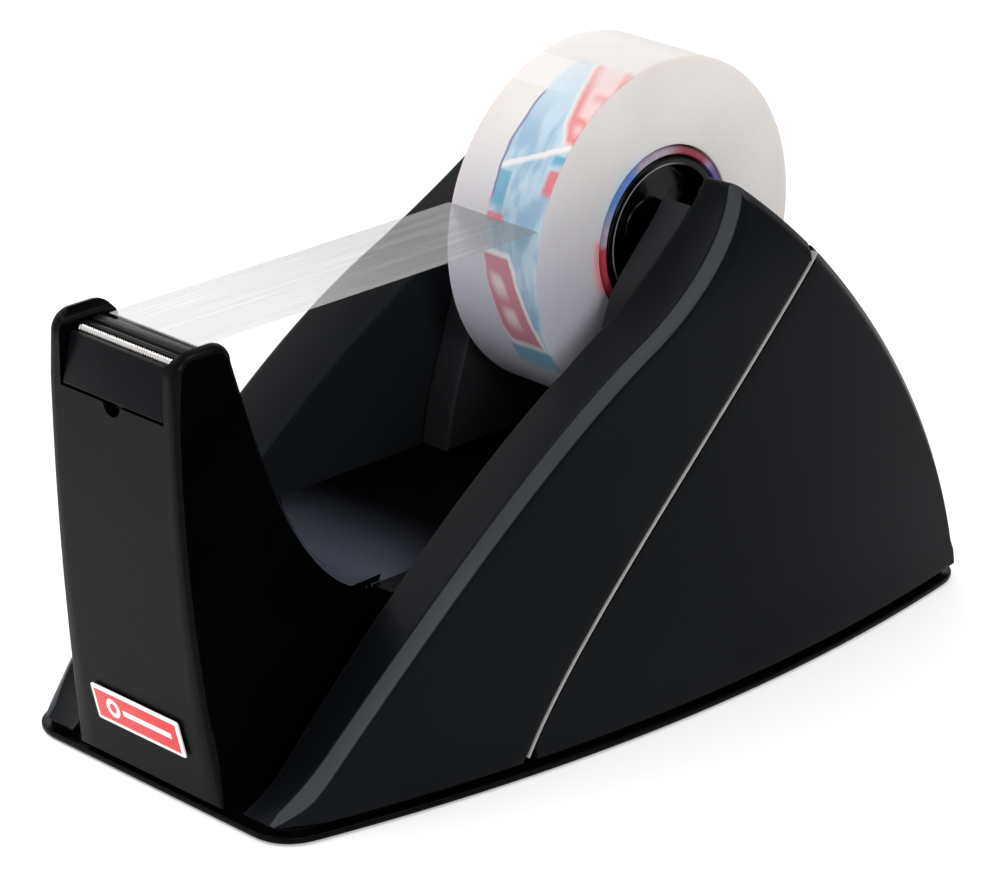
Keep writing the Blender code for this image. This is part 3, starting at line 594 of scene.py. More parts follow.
def hub_profile(side):
    """Half a spool: rim tube, web and bearing boss, with eased edges."""
    web, boss, bore, hub, rim = 5.5, 4.5, 3.1, 12.4, 11.0
    corners = [
        (0.15, bore), (0.15, boss), (web - 1.6, boss), (web - 1.6, rim), (0.15, rim), (0.15, hub),
        (TAPE_HALF, hub), (TAPE_HALF, rim), (web, rim), (web, boss), (12.7, boss), (12.7, bore),
    ]
    eased = rounded_loop(corners, [0.15, 0.15, 0.3, 0.3, 0.1, 0.1, 0.45, 0.35, 0.9, 0.9, 0.5, 0.25], 5)
    return eased * (side, 1.0)


def ring_profile(inner, outer, ease):
    half = TAPE_HALF
    rise = np.linspace(inner, outer, 16)[1:-1]
    right = np.stack([np.full_like(rise, half), rise], axis=1)
    left = np.stack([np.full_like(rise, -half), rise[::-1]], axis=1)
    corners = np.array([(-half, inner), (half, inner), (half, outer), (-half, outer)])
    turned = arc(np.roll(corners, 1, 0), corners, np.roll(corners, -1, 0), ease, 4)
    face = np.linspace(half, -half, 12)[1:-1]
    top = np.stack([face, np.full_like(face, outer)], axis=1)
    return np.vstack([turned[0], turned[1], right, turned[2], top, turned[3], left])


def axle_rings():
    """A rod with eased ends: circles along the axle whose radius falls off at both ends."""
    end = 18.6
    ease = np.linspace(0.0, math.pi / 2, 5)
    x = np.concatenate([-end + 0.5 * (1 - np.cos(ease)), end - 0.5 * (1 - np.cos(ease[::-1]))])
    radius = np.concatenate([2.5 + 0.5 * np.sin(ease), 2.5 + 0.5 * np.sin(ease[::-1])])[:, None]
    angle = np.linspace(0.0, 2 * math.pi, 64, endpoint=False)[None, :]
    y, z = AXLE_Y + radius * np.cos(angle), AXLE_Z + radius * np.sin(angle)
    return np.stack([np.broadcast_to(x[:, None], y.shape), y, z], axis=-1)


def holder_loop():
    """Section of the insert: leaning front, blade slot, a rounded ridge and a broad top."""
    back, low, top = float(HOLDER_HIGH[1]), float(HOLDER_LOW[2]), float(HOLDER_HIGH[2])
    front = float(HOLDER_LOW[1])
    slot_front = front + 1.8 + 0.8
    slot_back = slot_front + 1.1
    corners = [
        (front, low), (back, low), (back, top - 1.2), (back - 1.6, top), (slot_back + 2.2, top - 0.15),
        (slot_back + 1.9, top - 0.75), (slot_back + 1.55, top - 0.75), (slot_back + 1.3, top - 0.25),
        (slot_back + 0.55, top - 0.35), (slot_back + 0.3, top - 1.1), (slot_back, top - 1.1),
        (slot_back, top - 5.7), (slot_front, top - 5.7), (slot_front, top - 1.1), (front + 1.8, top - 1.1),
    ]
    radii = [0.25, 0.2, 1.2, 1.4, 0.3, 0.1, 0.1, 0.35, 0.35, 0.1, 0.1, 0.1, 0.1, 0.15, 0.25]
    return rounded_loop(corners, radii, 6)


def blade_rings():
    """Sections along the blade: a thin strip whose top edge is a fine saw, ground on its front."""
    low, high = ends_of("cutter_blade")
    half = float(high[0])
    teeth = 42
    x = np.linspace(-half, half, 2 * teeth + 1)
    saw = np.where(np.arange(len(x)) % 2 == 0, -0.32, 0.0)
    end = np.clip((half - np.abs(x)) / 0.7, 0.0, 1.0)
    fall = 0.8 * (1 - np.sqrt(1 - (1 - end) ** 2))
    tip = float(high[2]) + saw - fall
    y0, y1, bottom = float(low[1]), float(high[1]), float(low[2])
    corners = [
        (y0, np.full_like(x, bottom)), (y1, np.full_like(x, bottom)), (y1, tip),
        (y0 + 0.25, tip), (y0, np.minimum(tip - 0.45, high[2] - 0.55)),
    ]
    rings = [np.stack([x, np.full_like(x, y), z], axis=1) for y, z in corners]
    return np.stack(rings, axis=1)


def badge_shell():
    """A slanted plate with round corners that follows the post's front at an even depth."""
    low, high = ends_of("front_badge")
    half, bottom, top = 9.7, float(low[2]), float(high[2])
    corners = [(-half + 0.5, bottom), (half + 0.5, bottom), (half - 0.5, top), (-half - 0.5, top)]
    loop = rounded_loop(corners, [0.45] * 4, 6)
    return slab(loop, 0.3, 0.7, 0.15, lambda x, z, d: np.stack([x, post_front(z) - d, z], axis=1))


def strip_rings():
    """The free film: a ribbon along a level path that dips onto the holder at the front, with a
    whisper of sag between."""
    level = float(STRIP_LOW[2] + STRIP_HIGH[2]) / 2
    front = float(HOLDER_HIGH[1]) - 1.3
    reach = float(STRIP_HIGH[1])
    y = np.linspace(front, reach, 90)
    share = (y - front) / (reach - front)
    z = level - 0.12 * np.exp(-(share * 14) ** 2) - 0.1 * np.sin(math.pi * share)
    path = np.stack([y, z], axis=1)
    normal = inward_normals(path)
    half_thick = 0.05
    across = np.linspace(-TAPE_HALF, TAPE_HALF, 9)
    under, over = path + normal * half_thick, path - normal * half_thick
    rings = []
    for line, xs in ((under, across), (over, across[::-1])):
        for x in xs:
            rings.append(np.column_stack([np.full(len(line), x), line]))
    return np.stack(rings, axis=1), float(np.linalg.norm(np.diff(path, axis=0), axis=1).sum())


# ---------------------------------------------------------------- finishes


class Finish:
    """A material being wired up. Values are numbers, colours or sockets."""

    def __init__(self, name, roughness=0.5, metallic=0.0, specular=0.5, **constants):
        self.material = bpy.data.materials.new(name)
        self.material.use_nodes = True
        self.tree = self.material.node_tree
        self.shader = self.tree.nodes["Principled BSDF"]
        self.shader.inputs["Roughness"].default_value = roughness
        self.shader.inputs["Metallic"].default_value = metallic
        self.shader.inputs["Specular IOR Level"].default_value = specular
        for socket, value in constants.items():
            self.shader.inputs[socket.replace("_", " ")].default_value = value
        self.place = self.node("ShaderNodeTexCoord").outputs["Object"]

    def node(self, kind, **settings):
        made = self.tree.nodes.new(kind)
        for key, value in settings.items():
            setattr(made, key, value)
        return made

    def feed(self, socket, value):
        if isinstance(value, bpy.types.NodeSocket):
            self.tree.links.new(value, socket)
        elif isinstance(value, tuple) and len(value) == 3 and socket.type == "RGBA":
            socket.default_value = (*value, 1.0)
        else:
            socket.default_value = value

    def sum(self, operation, *values, clamp=False):
        made = self.node("ShaderNodeMath", operation=operation, use_clamp=clamp)
        for socket, value in zip(made.inputs, values):
            self.feed(socket, value)
        return made.outputs[0]

    def ramp(self, value, low, high, to_low=0.0, to_high=1.0):
        made = self.node("ShaderNodeMapRange", interpolation_type="SMOOTHSTEP")
        for socket, given in zip(made.inputs, (value, low, high, to_low, to_high)):
            self.feed(socket, given)
        return made.outputs[0]

    def window(self, value, low, high, soft):
        """1 between low and high, with soft edges. A low that is a socket starts the rise there."""
        start = low if isinstance(low, bpy.types.NodeSocket) else low - soft
        rise = self.ramp(value, start, self.sum("ADD", low, soft))
        fall = self.ramp(value, self.sum("SUBTRACT", high, soft), high, 1.0, 0.0)
        return self.sum("MULTIPLY", rise, fall)

    def noise(self, scale, detail=3.0, stretch=(1.0, 1.0, 1.0), roughness=0.5):
        made = self.node("ShaderNodeTexNoise")
        self.feed(made.inputs["Vector"], self.mapped(scale=stretch))
        for socket, value in (("Scale", scale), ("Detail", detail), ("Roughness", roughness)):
            self.feed(made.inputs[socket], value)
        return made.outputs["Fac"]

    def mapped(self, centre=(0.0, 0.0, 0.0), scale=(1.0, 1.0, 1.0)):
        made = self.node("ShaderNodeMapping", vector_type="POINT")
        self.feed(made.inputs["Vector"], self.place)
        made.inputs["Location"].default_value = [-c * s for c, s in zip(centre, scale)]
        made.inputs["Scale"].default_value = scale
        return made.outputs["Vector"]

    def axes(self, centre=(0.0, 0.0, 0.0)):
        """x, y and z from this centre, in millimetres."""
        part = self.node("ShaderNodeSeparateXYZ")
        self.feed(part.inputs[0], self.mapped(centre, (1000.0, 1000.0, 1000.0)))
        return tuple(part.outputs)

    def mix(self, share, first, second):
        made = self.node("ShaderNodeMix", data_type="RGBA")
        for socket, value in zip((made.inputs[0], made.inputs[6], made.inputs[7]), (share, first, second)):
            self.feed(socket, value)
        return made.outputs[2]

    def bump(self, height, distance, strength=1.0, under=None):
        made = self.node("ShaderNodeBump")
        self.feed(made.inputs["Height"], height)
        made.inputs["Distance"].default_value = distance
        made.inputs["Strength"].default_value = strength
        if under:
            self.feed(made.inputs["Normal"], under)
        return made.outputs["Normal"]

    def done(self, colour=None, roughness=None, normal=None):
        for socket, value in (("Base Color", colour), ("Roughness", roughness), ("Normal", normal)):
            if value is not None:
                self.feed(self.shader.inputs[socket], value)
        return self.material


# Darkest and lightest tone of each black plastic.
WALL_TONES = ((0.0026, 0.0031, 0.0040), (0.0038, 0.0044, 0.0056))
COVER_TONES = ((0.0028, 0.0033, 0.0042), (0.0042, 0.0048, 0.0060))
POST_TONES = ((0.0008, 0.0009, 0.0012), (0.0016, 0.0018, 0.0022))
# Painted shade: the post's flanks get darker tones than the post plastic.
SHADED_FLANK_TONES = ((0.0004, 0.0005, 0.0005), (0.0009, 0.0011, 0.0010))
BASE_TONES = ((0.0006, 0.0006, 0.0008), (0.0013, 0.0013, 0.0017))
SUPPORT_TONES = ((0.0150, 0.0155, 0.0175), (0.0190, 0.0195, 0.0215))
HOLDER_TONES = ((0.0024, 0.0025, 0.0034), (0.0036, 0.0038, 0.0052))
HUB_TONES = ((0.0005, 0.0005, 0.0007), (0.0010, 0.0010, 0.0013))
AXLE_TONES = ((0.0006, 0.0006, 0.0008), (0.0012, 0.0012, 0.0015))


def moulded_plastic(name, dark, light, gloss, specular, grain=1.0, painted_light=()):
    """Black moulded plastic: spark-eroded grain, faint flow marks and uneven sheen.

    Each painted light function gives the share and colour of places painted paler to stand in for light.
    """
    f = Finish(name, specular=specular)
    cloud = f.noise(38.0, 4.0)
    grains = f.noise(2600.0, 2.0)
    flow = f.noise(9.0, 2.0, (1.0, 0.35, 1.0))
    colour = f.mix(f.ramp(cloud, 0.3, 0.75), dark, light)
    colour = f.mix(f.ramp(grains, 0.62, 0.85, 0.0, 0.35), colour, light)
    # Painted light: each such place is mixed toward its paler colour.
    for place in painted_light:
        share, paler = place(f)
        colour = f.mix(f.sum("MULTIPLY", share, f.ramp(cloud, 0.2, 0.8, 0.75, 1.0)), colour, paler)
    smear = f.ramp(flow, 0.25, 0.75, gloss - 0.04, gloss + 0.05)
    sheen = f.sum("ADD", smear, f.ramp(grains, 0.3, 0.8, -0.03, 0.05))
    normal = f.bump(grains, 0.00004 * grain, 0.35)
    normal = f.bump(f.noise(160.0, 2.0), 0.00008, 0.12, normal)
    return f.done(colour, sheen, normal)


def lit_inner_faces(f):
    """The faces that line the channel, painted paler to stand in for the light that falls on them."""
    x = f.axes()[0]
    return f.ramp(f.sum("ABSOLUTE", x), 20.2, 19.4), (0.0088, 0.0105, 0.0125)


def lit_chamfer(f):
    """The chamfer along the ridge, painted pale: a painted highlight."""
    highlight_share = f.node("ShaderNodeAttribute", attribute_name="painted_glint").outputs["Fac"]
    return f.ramp(highlight_share, 0.2, 1.0), (0.040, 0.043, 0.048)


def lit_trough_floor(f):
    """The floor of the trough behind the post, painted paler to stand in for the light that falls on it."""
    x, y, z = f.axes()
    along = f.sum("MULTIPLY", f.ramp(y, -62.0, -50.0), f.ramp(y, -16.0, -40.0))
    high = f.sum("MULTIPLY", f.ramp(z, 27.4, 27.8), f.ramp(z, 52.0, 32.0))
    middle = f.ramp(f.sum("SUBTRACT", f.sum("ABSOLUTE", x), f.ramp(y, -30.0, -24.0, 0.0, 6.0)), 15.2, 14.8)
    return f.sum("MULTIPLY", f.sum("MULTIPLY", along, high), middle), (0.045, 0.050, 0.066)


def gloss_plastic(name, dark, light, gloss, specular, ring=False):
    """Polished black plastic with a soft orange-peel and hairline scuffs. ring adds a painted
    highlight: a pale line on the hub's inner edge."""
    f = Finish(name, specular=specular)
    peel = f.noise(420.0, 2.0)
    if ring:
        angle, radius = about_axle(f)[:2]
        ring_highlight = f.sum("MULTIPLY", f.window(radius, 10.95, 11.5, 0.15), f.window(angle, -30.0, 120.0, 40.0))
    scuff = f.noise(900.0, 3.0, (0.12, 1.0, 1.0))
    colour = f.mix(f.ramp(f.noise(60.0, 3.0), 0.3, 0.7), dark, light)
    if ring:
        # Painted highlight: a pale line on the rim's inner edge, over its front and upper part.
        colour = f.mix(ring_highlight, colour, (0.22, 0.22, 0.23))
    sheen = f.ramp(scuff, 0.45, 0.8, gloss, gloss + 0.16)
    return f.done(colour, sheen, f.bump(peel, 0.00003, 0.25))


def trim_finish():
    """Pale painted line with a slightly uneven edge of paint."""
    f = Finish("pale_trim_paint", specular=0.4)
    colour = f.mix(f.noise(900.0, 3.0), (0.20, 0.20, 0.205), (0.33, 0.325, 0.32))
    return f.done(colour, f.ramp(f.noise(300.0), 0.2, 0.8, 0.35, 0.55), f.bump(f.noise(1500.0), 0.00003, 0.3))


def blade_finish():
    """Ground steel: fine lines across the blade and a soft sheen."""
    f = Finish("ground_blade_steel", metallic=1.0)
    lines = f.noise(1400.0, 3.0, (1.0, 0.08, 0.08))
    colour = f.mix(lines, (0.60, 0.575, 0.56), (0.74, 0.715, 0.69))
    return f.done(colour, f.ramp(lines, 0.2, 0.8, 0.22, 0.42), f.bump(lines, 0.00002, 0.4))


def screw_finish():
    """Zinc-plated steel with a mottled passivation."""
    f = Finish("zinc_plated_steel", metallic=1.0)
    mottle = f.noise(900.0, 4.0)
    colour = f.mix(f.ramp(mottle, 0.3, 0.7), (0.42, 0.43, 0.45), (0.62, 0.60, 0.55))
    return f.done(colour, f.ramp(mottle, 0.2, 0.8, 0.28, 0.5), f.bump(mottle, 0.00003, 0.4))


def iron_finish():
    """Sand-cast iron: coarse skin, dark pits and a trace of brown."""
    f = Finish("cast_iron_skin", metallic=0.7)
    skin, pits = f.noise(500.0, 5.0), f.noise(140.0, 3.0)
    colour = f.mix(f.ramp(skin, 0.3, 0.7), (0.06, 0.06, 0.062), (0.13, 0.12, 0.11))
    colour = f.mix(f.ramp(pits, 0.62, 0.75), colour, (0.14, 0.075, 0.045))
    return f.done(colour, f.ramp(skin, 0.2, 0.8, 0.6, 0.85), f.bump(skin, 0.0003, 0.8))


def foam_finish():
    """Anti-slip foam rubber: closed cells of about half a millimetre."""
    f = Finish("anti_slip_foam", specular=0.2)
    cells = f.node("ShaderNodeTexVoronoi")
    f.feed(cells.inputs["Vector"], f.mapped())
    cells.inputs["Scale"].default_value = 1900.0
    cell = cells.outputs["Distance"]
    colour = f.mix(f.ramp(cell, 0.1, 0.8), (0.012, 0.012, 0.013), (0.04, 0.04, 0.042))
    return f.done(colour, f.ramp(f.noise(200.0), 0.2, 0.8, 0.85, 0.98), f.bump(cell, 0.00015, 0.8))


RED = (0.58, 0.06, 0.075)
DUSTY_RED = (0.42, 0.065, 0.12)
BLUSH = (0.66, 0.50, 0.50)
TEAL = (0.06, 0.30, 0.42)
STEEL_BLUE = (0.19, 0.34, 0.47)
PALE_BLUE = (0.38, 0.50, 0.58)
CREAM = (0.68, 0.64, 0.62)


def about_axle(f):
    """Angle in degrees up from the front, then radius, x, y and z in mm, all about the axle."""
    x, y, z = f.axes((0.0, AXLE_Y * MM, AXLE_Z * MM))
    angle = f.sum("MULTIPLY", f.sum("ARCTAN2", z, f.sum("MULTIPLY", y, -1.0)), 180 / math.pi)
    radius = f.sum("SQRT", f.sum("ADD", f.sum("MULTIPLY", y, y), f.sum("MULTIPLY", z, z)))
    return angle, radius, x, y, z


def roll_finish():
    """Matte film wound many turns: milky, with winding rings on its sides.

    The printed core shows through the outer turns as a soft band of colour fields. The pattern
    is laid out by angle round the axle and by place across the width, on the front of the roll only.
    """
    f = Finish(
        "wound_matte_film", roughness=0.42, specular=0.35, Subsurface_Weight=0.25, Subsurface_Scale=0.004
    )
    angle, radius, x, back, height = about_axle(f)
    cloud = f.noise(45.0, 3.0)
    film = f.mix(f.ramp(cloud, 0.3, 0.7), (0.56, 0.535, 0.515), (0.61, 0.585, 0.565))
    # Painted shade: the film turns lilac grey toward the bottom and the front of the roll.
    shade = f.sum("ADD", height, f.sum("MULTIPLY", back, 0.6))
    shaded_film = f.mix(f.ramp(shade, -26.0, 14.0), (0.42, 0.41, 0.47), film)

    wobble = f.sum("MULTIPLY", f.sum("SUBTRACT", f.noise(160.0, 2.0), 0.5), 1.6)
    across = f.sum("ADD", x, wobble)
    turn = f.sum("ADD", angle, f.sum("MULTIPLY", wobble, 1.5))
    left = f.ramp(angle, 12.0, -34.0, -2.0, 1.2)
    inside = f.ramp(across, left, f.sum("ADD", left, 0.5))
    print_colour = f.mix(f.ramp(f.noise(170.0, 4.0, (1.6, 0.6, 0.6)), 0.4, 0.6), STEEL_BLUE, PALE_BLUE)
    print_colour = f.mix(f.ramp(turn, 42.0, 60.0), print_colour, PALE_BLUE)

    lane = across

    def block(colour, low, high, start, stop, soft=0.35, strength=1.0):
        nonlocal print_colour
        mask = f.sum("MULTIPLY", f.window(turn, low, high, soft * 3), f.window(lane, start, stop, soft))
        print_colour = f.mix(f.sum("MULTIPLY", mask, strength), print_colour, colour)

    slope = f.sum("ADD", turn, f.sum("MULTIPLY", x, -1.0))
    skew = f.sum("ADD", across, f.sum("MULTIPLY", turn, 0.165))
    block(CREAM, -28.0, 31.0, 1.0, 1.7, 0.25, 0.25)
    block(TEAL, 18.5, 30.5, -3.0, 1.1, 0.5, 0.85)
    block(RED, 13.5, 17.0, -3.0, 1.8, 0.5, 0.8)
    block(TEAL, 35.5, 39.5, 7.4, 9.8, 0.5)
    block(RED, 26.0, 34.5, 7.8, 9.8, 0.5, 0.85)
    block(TEAL, -38.0, -26.0, 0.0, 9.8, 0.6)
    lane = skew
    block(CREAM, 42.0, 82.0, 14.2, 22.6, 0.5, 0.85)
    block(RED, 43.0, 80.0, 14.8, 22.2, 0.6, 0.85)
    block(BLUSH, 47.0, 82.0, 16.2, 20.8, 0.9, 0.85)
    block(RED, 50.0, 54.0, 15.8, 18.6, 0.7, 0.8)
    block(RED, 60.0, 64.0, 17.4, 20.4, 0.8, 0.55)
    block(CREAM, -28.0, 6.0, -3.0, 5.2, 0.45, 0.85)
    block(DUSTY_RED, -26.0, 4.0, -2.4, 4.4, 0.45, 0.85)
    block(CREAM, -9.5, -1.0, -0.6, 2.4, 1.1, 0.7)
    block(CREAM, -19.5, -12.0, -0.4, 2.6, 1.1, 0.7)
    line = f.window(slope, 31.5, 34.0, 0.8)
    print_colour = f.mix(f.sum("MULTIPLY", line, 0.9), print_colour, CREAM)

    seen = f.window(angle, -37.0, 77.0, 3.0)
    fade = f.sum("MULTIPLY", f.ramp(angle, 54.0, 78.0, 0.9, 0.45), f.ramp(angle, -40.0, -24.0, 0.5, 1.0))
    outer = f.ramp(radius, ROLL_RADIUS - 0.5, ROLL_RADIUS - 0.2)
    share = f.sum("MULTIPLY", f.sum("MULTIPLY", seen, inside), f.sum("MULTIPLY", fade, outer))
    colour = f.mix(share, shaded_film, print_colour)
    thin = f.window(across, f.sum("SUBTRACT", left, 0.15), f.sum("ADD", left, 0.45), 0.12)
    edge = f.sum("MULTIPLY", thin, f.window(angle, 20.0, 60.0, 3.0))
    colour = f.mix(f.sum("MULTIPLY", f.sum("MULTIPLY", edge, outer), 0.8), colour, (0.12, 0.10, 0.26))
    band = f.sum("MULTIPLY", f.window(angle, 59.5, 74.0, 0.5), f.sum("MULTIPLY", outer, f.ramp(x, 5.0, -2.0)))
    colour = f.mix(f.sum("MULTIPLY", band, 0.13), colour, (0.93, 0.93, 0.92))

    near_core = f.ramp(radius, 16.5, 14.2)
    glow_low = f.sum("MULTIPLY", near_core, f.window(angle, -24.0, 12.0, 5.0))
    glow_high = f.sum("MULTIPLY", near_core, f.window(angle, 20.0, 80.0, 14.0))
    colour = f.mix(f.sum("MULTIPLY", glow_low, 0.75), colour, (0.75, 0.12, 0.14))
    colour = f.mix(f.sum("MULTIPLY", glow_high, 0.45), colour, (0.45, 0.60, 0.78))

    rings = f.node("ShaderNodeTexNoise", noise_dimensions="1D")
    f.feed(rings.inputs["W"], radius)
    rings.inputs["Scale"].default_value = 3.2
    rings.inputs["Detail"].default_value = 4.0
    wound = rings.outputs["Fac"]
    on_side_face = f.sum("SUBTRACT", 1.0, outer)
    winding = f.sum("MULTIPLY", f.ramp(wound, 0.5, 0.8, 0.0, 0.16), on_side_face)
    colour = f.mix(winding, colour, (0.62, 0.60, 0.60))
    normal = f.bump(wound, 0.00012, 0.25)
    return f.done(colour, f.ramp(wound, 0.2, 0.8, 0.34, 0.5), normal)


def core_finish():
    """Printed paper ring: colours change round the ring, with paper fibres."""
    f = Finish("printed_core_paper", specular=0.3)
    angle = about_axle(f)[0]
    colour = f.mix(f.ramp(f.noise(700.0), 0.3, 0.7), (0.30, 0.25, 0.32), (0.38, 0.31, 0.38))
    colour = f.mix(f.window(angle, 25.0, 68.0, 12.0), colour, (0.10, 0.20, 0.50))
    colour = f.mix(f.window(angle, 98.0, 140.0, 12.0), colour, (0.24, 0.03, 0.05))
    colour = f.mix(f.window(angle, 138.0, 170.0, 9.0), colour, (0.10, 0.06, 0.22))
    colour = f.mix(f.window(angle, -60.0, 8.0, 6.0), colour, (0.38, 0.04, 0.06))
    return f.done(colour, f.ramp(f.noise(900.0), 0.2, 0.8, 0.5, 0.7), f.bump(f.noise(1200.0), 0.00005, 0.4))


def strip_finish():
    """One layer of matte film: mostly clear, hazier in streaks along its length, and painted
    paler toward the cutter as painted light."""
    f = Finish("single_matte_film", roughness=0.3, specular=0.3, Alpha=0.38)
    part = f.node("ShaderNodeSeparateXYZ")
    f.feed(part.inputs[0], f.place)
    along = part.outputs[1]
    streak = f.noise(900.0, 2.0, (1.0, 0.03, 1.0))
    # Painted light: the film's tone is graded paler toward the cutter to stand in for the light there.
    haze_painted_paler = f.mix(f.ramp(along, -0.064, -0.012), (0.44, 0.425, 0.42), (0.206, 0.202, 0.206))
    colour = f.mix(f.ramp(streak, 0.3, 0.8, 0.0, 0.12), haze_painted_paler, (0.32, 0.315, 0.32))
    return f.done(colour, f.ramp(streak, 0.2, 0.8, 0.24, 0.4), f.bump(streak, 0.00004, 0.3))


def badge_finish():
    """Printed label: a white border, a red field with a plain ring and a plain bar, and ink grain."""
    f = Finish("printed_label", roughness=0.35, specular=0.4)
    x, _, z = f.axes((0.0, 0.0, 0.012))
    u = f.sum("ADD", x, f.sum("MULTIPLY", z, 1.0 / 5.6))
    field = f.sum("MULTIPLY", f.window(u, -9.1, 9.1, 0.1), f.window(z, -2.25, 2.25, 0.1))
    ink = f.mix(f.noise(1500.0, 3.0), (0.55, 0.018, 0.02), (0.66, 0.03, 0.03))
    colour = f.mix(field, (0.80, 0.79, 0.77), ink)
    dx = f.sum("SUBTRACT", u, -5.4)
    ring = f.sum("SQRT", f.sum("ADD", f.sum("MULTIPLY", dx, dx), f.sum("MULTIPLY", z, z)))
    colour = f.mix(f.window(ring, 0.75, 1.5, 0.08), colour, (0.80, 0.79, 0.77))
    bar = f.sum("MULTIPLY", f.window(u, -3.2, 7.6, 0.1), f.window(z, -0.45, 0.45, 0.08))
    colour = f.mix(bar, colour, (0.80, 0.79, 0.77))
    return f.done(colour, f.ramp(f.noise(800.0), 0.2, 0.8, 0.3, 0.42), f.bump(f.noise(2000.0), 0.00002, 0.3))


def floor_finish():
    f = Finish("studio_floor", specular=0.05, Emission_Color=(1.0, 1.0, 1.0, 1.0), Emission_Strength=0.3)
    colour = f.mix(f.noise(3.0, 2.0), (0.74, 0.74, 0.74), (0.76, 0.76, 0.76))
    return f.done(colour, 0.9)


# ---------------------------------------------------------------- assembly


def fit(item, finish, body, slot, *nodes):
    """The piece takes its finish, rides on its body and stands for these frame nodes."""
    item.data.materials.append(finish)
    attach(item, body)
    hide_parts(*nodes)
    return item


def dress(node, finish):
    """A frame node keeps its own shape and gets this finish."""
    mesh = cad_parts[node].data
    mesh.materials.clear()
    mesh.materials.append(finish)


def mirrored(shell, side):
    points, faces = shell
    return points * (side, 1.0, 1.0), faces


def build_body():
    # The walls carry painted light on their inner faces and a painted highlight on their chamfers.
    wall_black = moulded_plastic("wall_plastic", *WALL_TONES, 0.34, 0.045, painted_light=(lit_inner_faces, lit_chamfer))
    cover_black = moulded_plastic("cover_plastic", *COVER_TONES, 0.36, 0.04)
    # The trough floor behind the post carries painted light.
    post_black = moulded_plastic("post_plastic", *POST_TONES, 0.28, 0.05, painted_light=(lit_trough_floor,))
    base_black = moulded_plastic("base_plastic", *BASE_TONES, 0.24, 0.04)
    inner_black = moulded_plastic("support_plastic", *SUPPORT_TONES, 0.36, 0.14)
    trim = trim_finish()
    static = "dispenser"
    fit(solid("base_rim", [tray_shell()]), base_black, static, "black_plastic", "base_tray")
    body = solid("post_and_trough", [post_shell(), trough_shell()])
    fit(body, post_black, static, "black_plastic", "centre_body")
    # Painted shade: the post's side faces are matte, without specular, and darker than the post plastic; the
    # darker colour stands in for shade.
    matte = moulded_plastic("shaded_flank_plastic", *SHADED_FLANK_TONES, 0.55, 0.0)
    body.data.materials.append(matte)
    for face in body.data.polygons:
        middle = face.center / MM
        if abs(face.normal.x) > 0.99 and abs(middle.x) > POST_HALF - 0.5 and middle.y < TROUGH_FRONT + 2.0:
            face.material_index, face.use_smooth = 1, False
    wall_sections = wall_rings()
    # Share of painted highlight along the walls' chamfers.
    highlight_share = chamfer_glint_share(wall_sections)
    wall, cover, strip = lofted(wall_sections), lofted(cover_rings()), lofted(trim_rings())
    loop = support_loop()
    for word, side in SIDES.items():
        support = slab(loop, 13.0, 18.9, 0.5, along_x)
        pieces = (
            (f"{word}_wall", wall, wall_black, "black_plastic", f"{word}_side_wall"),
            (f"{word}_cover", cover, cover_black, "black_plastic", f"{word}_side_cover"),
            (f"{word}_seam_line", strip, trim, "grey_trim", f"{word}_trim_strip"),
            (f"{word}_support", support, inner_black, "black_plastic", f"{word}_axle_support"),
        )
        for name, shell, finish, slot, node in pieces:
            marks = highlight_share if shell is wall else None
            fit(solid(name, [mirrored(shell, side)], highlight_share=marks), finish, static, slot, node)


def build_cutter():
    holder_black = gloss_plastic("holder_plastic", *HOLDER_TONES, 0.24, 0.07)
    half = float(HOLDER_HIGH[0])
    holder = slab(holder_loop(), -half, half, 0.2, along_x)
    fit(solid("cutter_insert", [holder]), holder_black, "dispenser", "black_gloss_plastic", "cutter_holder")
    blade = solid("saw_blade", [lofted(blade_rings())])
    fit(blade, blade_finish(), "dispenser", "blade_steel", "cutter_blade")
    fit(solid("label_plate", [badge_shell()]), badge_finish(), "dispenser", "badge_print", "front_badge")


def build_roll():
    hub_black = gloss_plastic("hub_plastic", *HUB_TONES, 0.16, 0.12, ring=True)
    axle_black = gloss_plastic("axle_plastic", *AXLE_TONES, 0.26, 0.10)
    for word, side in SIDES.items():
        hub = solid(f"{word}_hub", [turned_profile(hub_profile(side))])
        fit(hub, hub_black, "spool", "black_gloss_plastic", f"hub_{word}_half")
    core = solid("printed_core", [turned_profile(ring_profile(12.7, 13.9, 0.15), 144)])
    fit(core, core_finish(), "spool", "core_plastic", "tape_core")
    film = solid("wound_film", [turned_profile(ring_profile(14.2, ROLL_RADIUS, 0.3), 192)])
    fit(film, roll_finish(), "spool", "matte_film", "tape_roll")
    axle = solid("axle_rod", [lofted(axle_rings())])
    fit(axle, axle_black, "axle_carrier", "black_gloss_plastic", "roll_axle")
    rings, length = strip_rings()
    ribbon = solid("free_film", [lofted(rings)])
    fit(ribbon, strip_finish(), "axle_carrier", "matte_film", "tape_strip")


def dress_nodes():
    dress("anti_slip_pad", foam_finish())
    dress("ballast_weight", iron_finish())
    zinc = screw_finish()
    for number in range(1, 5):
        dress(f"base_screw_{number}", zinc)


def softbox(name, place, aim, width, height, power, colour=(1.0, 1.0, 1.0)):
    """A flat lamp at place that looks at aim, both in metres."""
    lamp = bpy.data.lights.new(name, "AREA")
    lamp.shape, lamp.size, lamp.size_y = "RECTANGLE", width, height
    lamp.energy, lamp.color = power, colour
    item = bpy.data.objects.new(name, lamp)
    bpy.context.scene.collection.objects.link(item)
    item.location = place
    x, y, z = (a - p for a, p in zip(aim, place))
    item.rotation_euler = (math.atan2(math.hypot(x, y), -z), 0.0, math.atan2(y, x) - math.pi / 2)


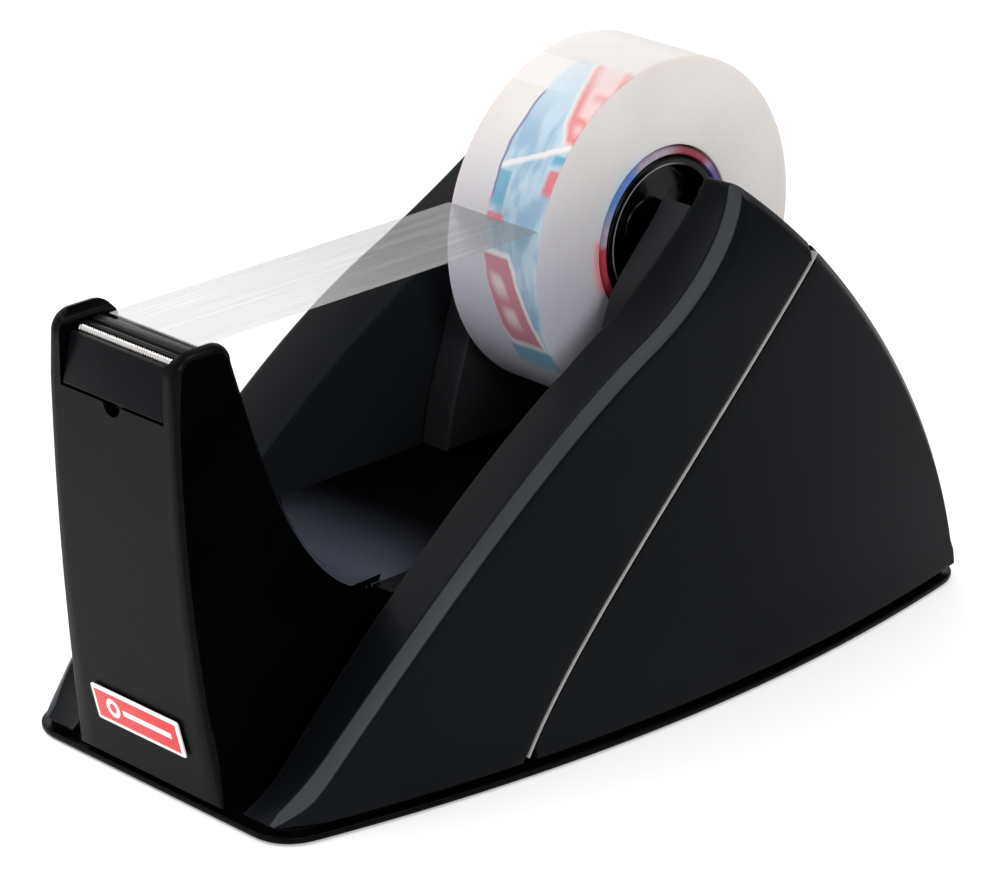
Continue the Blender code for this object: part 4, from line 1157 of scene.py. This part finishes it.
def studio():
    """A pale floor, a sky that is brighter to the left front, four softboxes and a spot on the
    floor. The camera looks from the right front."""
    scene = bpy.context.scene
    radius = 6.0
    angle = np.linspace(0.0, 2 * math.pi, 48, endpoint=False)
    ground = bpy.data.meshes.new("studio_floor")
    rim = np.stack([radius * np.cos(angle), radius * np.sin(angle), 0.0 * angle], axis=1)
    ground.from_pydata(rim.tolist(), [], [list(range(len(angle)))])
    ground.materials.append(floor_finish())
    floor = bpy.data.objects.new("studio_floor", ground)
    scene.collection.objects.link(floor)

    world = bpy.data.worlds.new("studio_sky")
    world.use_nodes = True
    nodes, links = world.node_tree.nodes, world.node_tree.links
    toward = nodes.new("ShaderNodeTexCoord")
    lean = nodes.new("ShaderNodeVectorMath")
    lean.operation = "DOT_PRODUCT"
    lean.inputs[1].default_value = (-0.62, -0.55, 0.56)
    spread = nodes.new("ShaderNodeMapRange")
    for socket, value in zip(spread.inputs.values()[1:5], (-0.7, 0.9, 0.22, 1.15)):
        socket.default_value = value
    links.new(toward.outputs["Generated"], lean.inputs[0])
    links.new(lean.outputs["Value"], spread.inputs["Value"])
    links.new(spread.outputs["Result"], nodes["Background"].inputs["Strength"])
    nodes["Background"].inputs["Color"].default_value = (0.98, 0.99, 1.0, 1.0)
    scene.world = world
    softbox("overhead_right", (0.64, 0.37, 0.93), (0.0, 0.0, 0.03), 0.5, 0.5, 3.6)
    softbox("overhead_left", (-0.70, -0.26, 0.94), (0.0, 0.0, 0.03), 0.6, 0.6, 4.0)
    softbox("rim_streak", (0.95, -0.41, 0.54), (0.0, 0.0, 0.04), 0.34, 0.34, 4.2)
    softbox("low_left", (-0.75, 0.72, 0.42), (0.0, 0.0, 0.03), 0.5, 0.3, 1.0)
    pool = bpy.data.lights.new("floor_pool", "SPOT")
    pool.energy, pool.spot_size, pool.spot_blend = 13.0, math.radians(30.0), 0.7
    pool.shadow_soft_size = 0.04
    item = bpy.data.objects.new("floor_pool", pool)
    item.location = (-0.17, -0.27, 0.5)
    item.rotation_euler = (math.atan2(math.hypot(0.08, 0.10), 0.5), 0.0, math.atan2(0.10, 0.08) - math.pi / 2)
    scene.collection.objects.link(item)

    lens = bpy.data.cameras.new("view_camera")
    lens.lens, lens.sensor_width = 161.05, 36.0
    lens.clip_start, lens.clip_end = 0.01, 50.0
    camera = bpy.data.objects.new("view_camera", lens)
    camera.location = (0.4534, -0.4444, 0.2963)
    camera.rotation_euler = (math.radians(67.702), 0.0, math.radians(45.426))
    scene.collection.objects.link(camera)
    scene.camera = camera
    scene.view_settings.view_transform = "Standard"


build_body()
build_cutter()
build_roll()
dress_nodes()
studio()
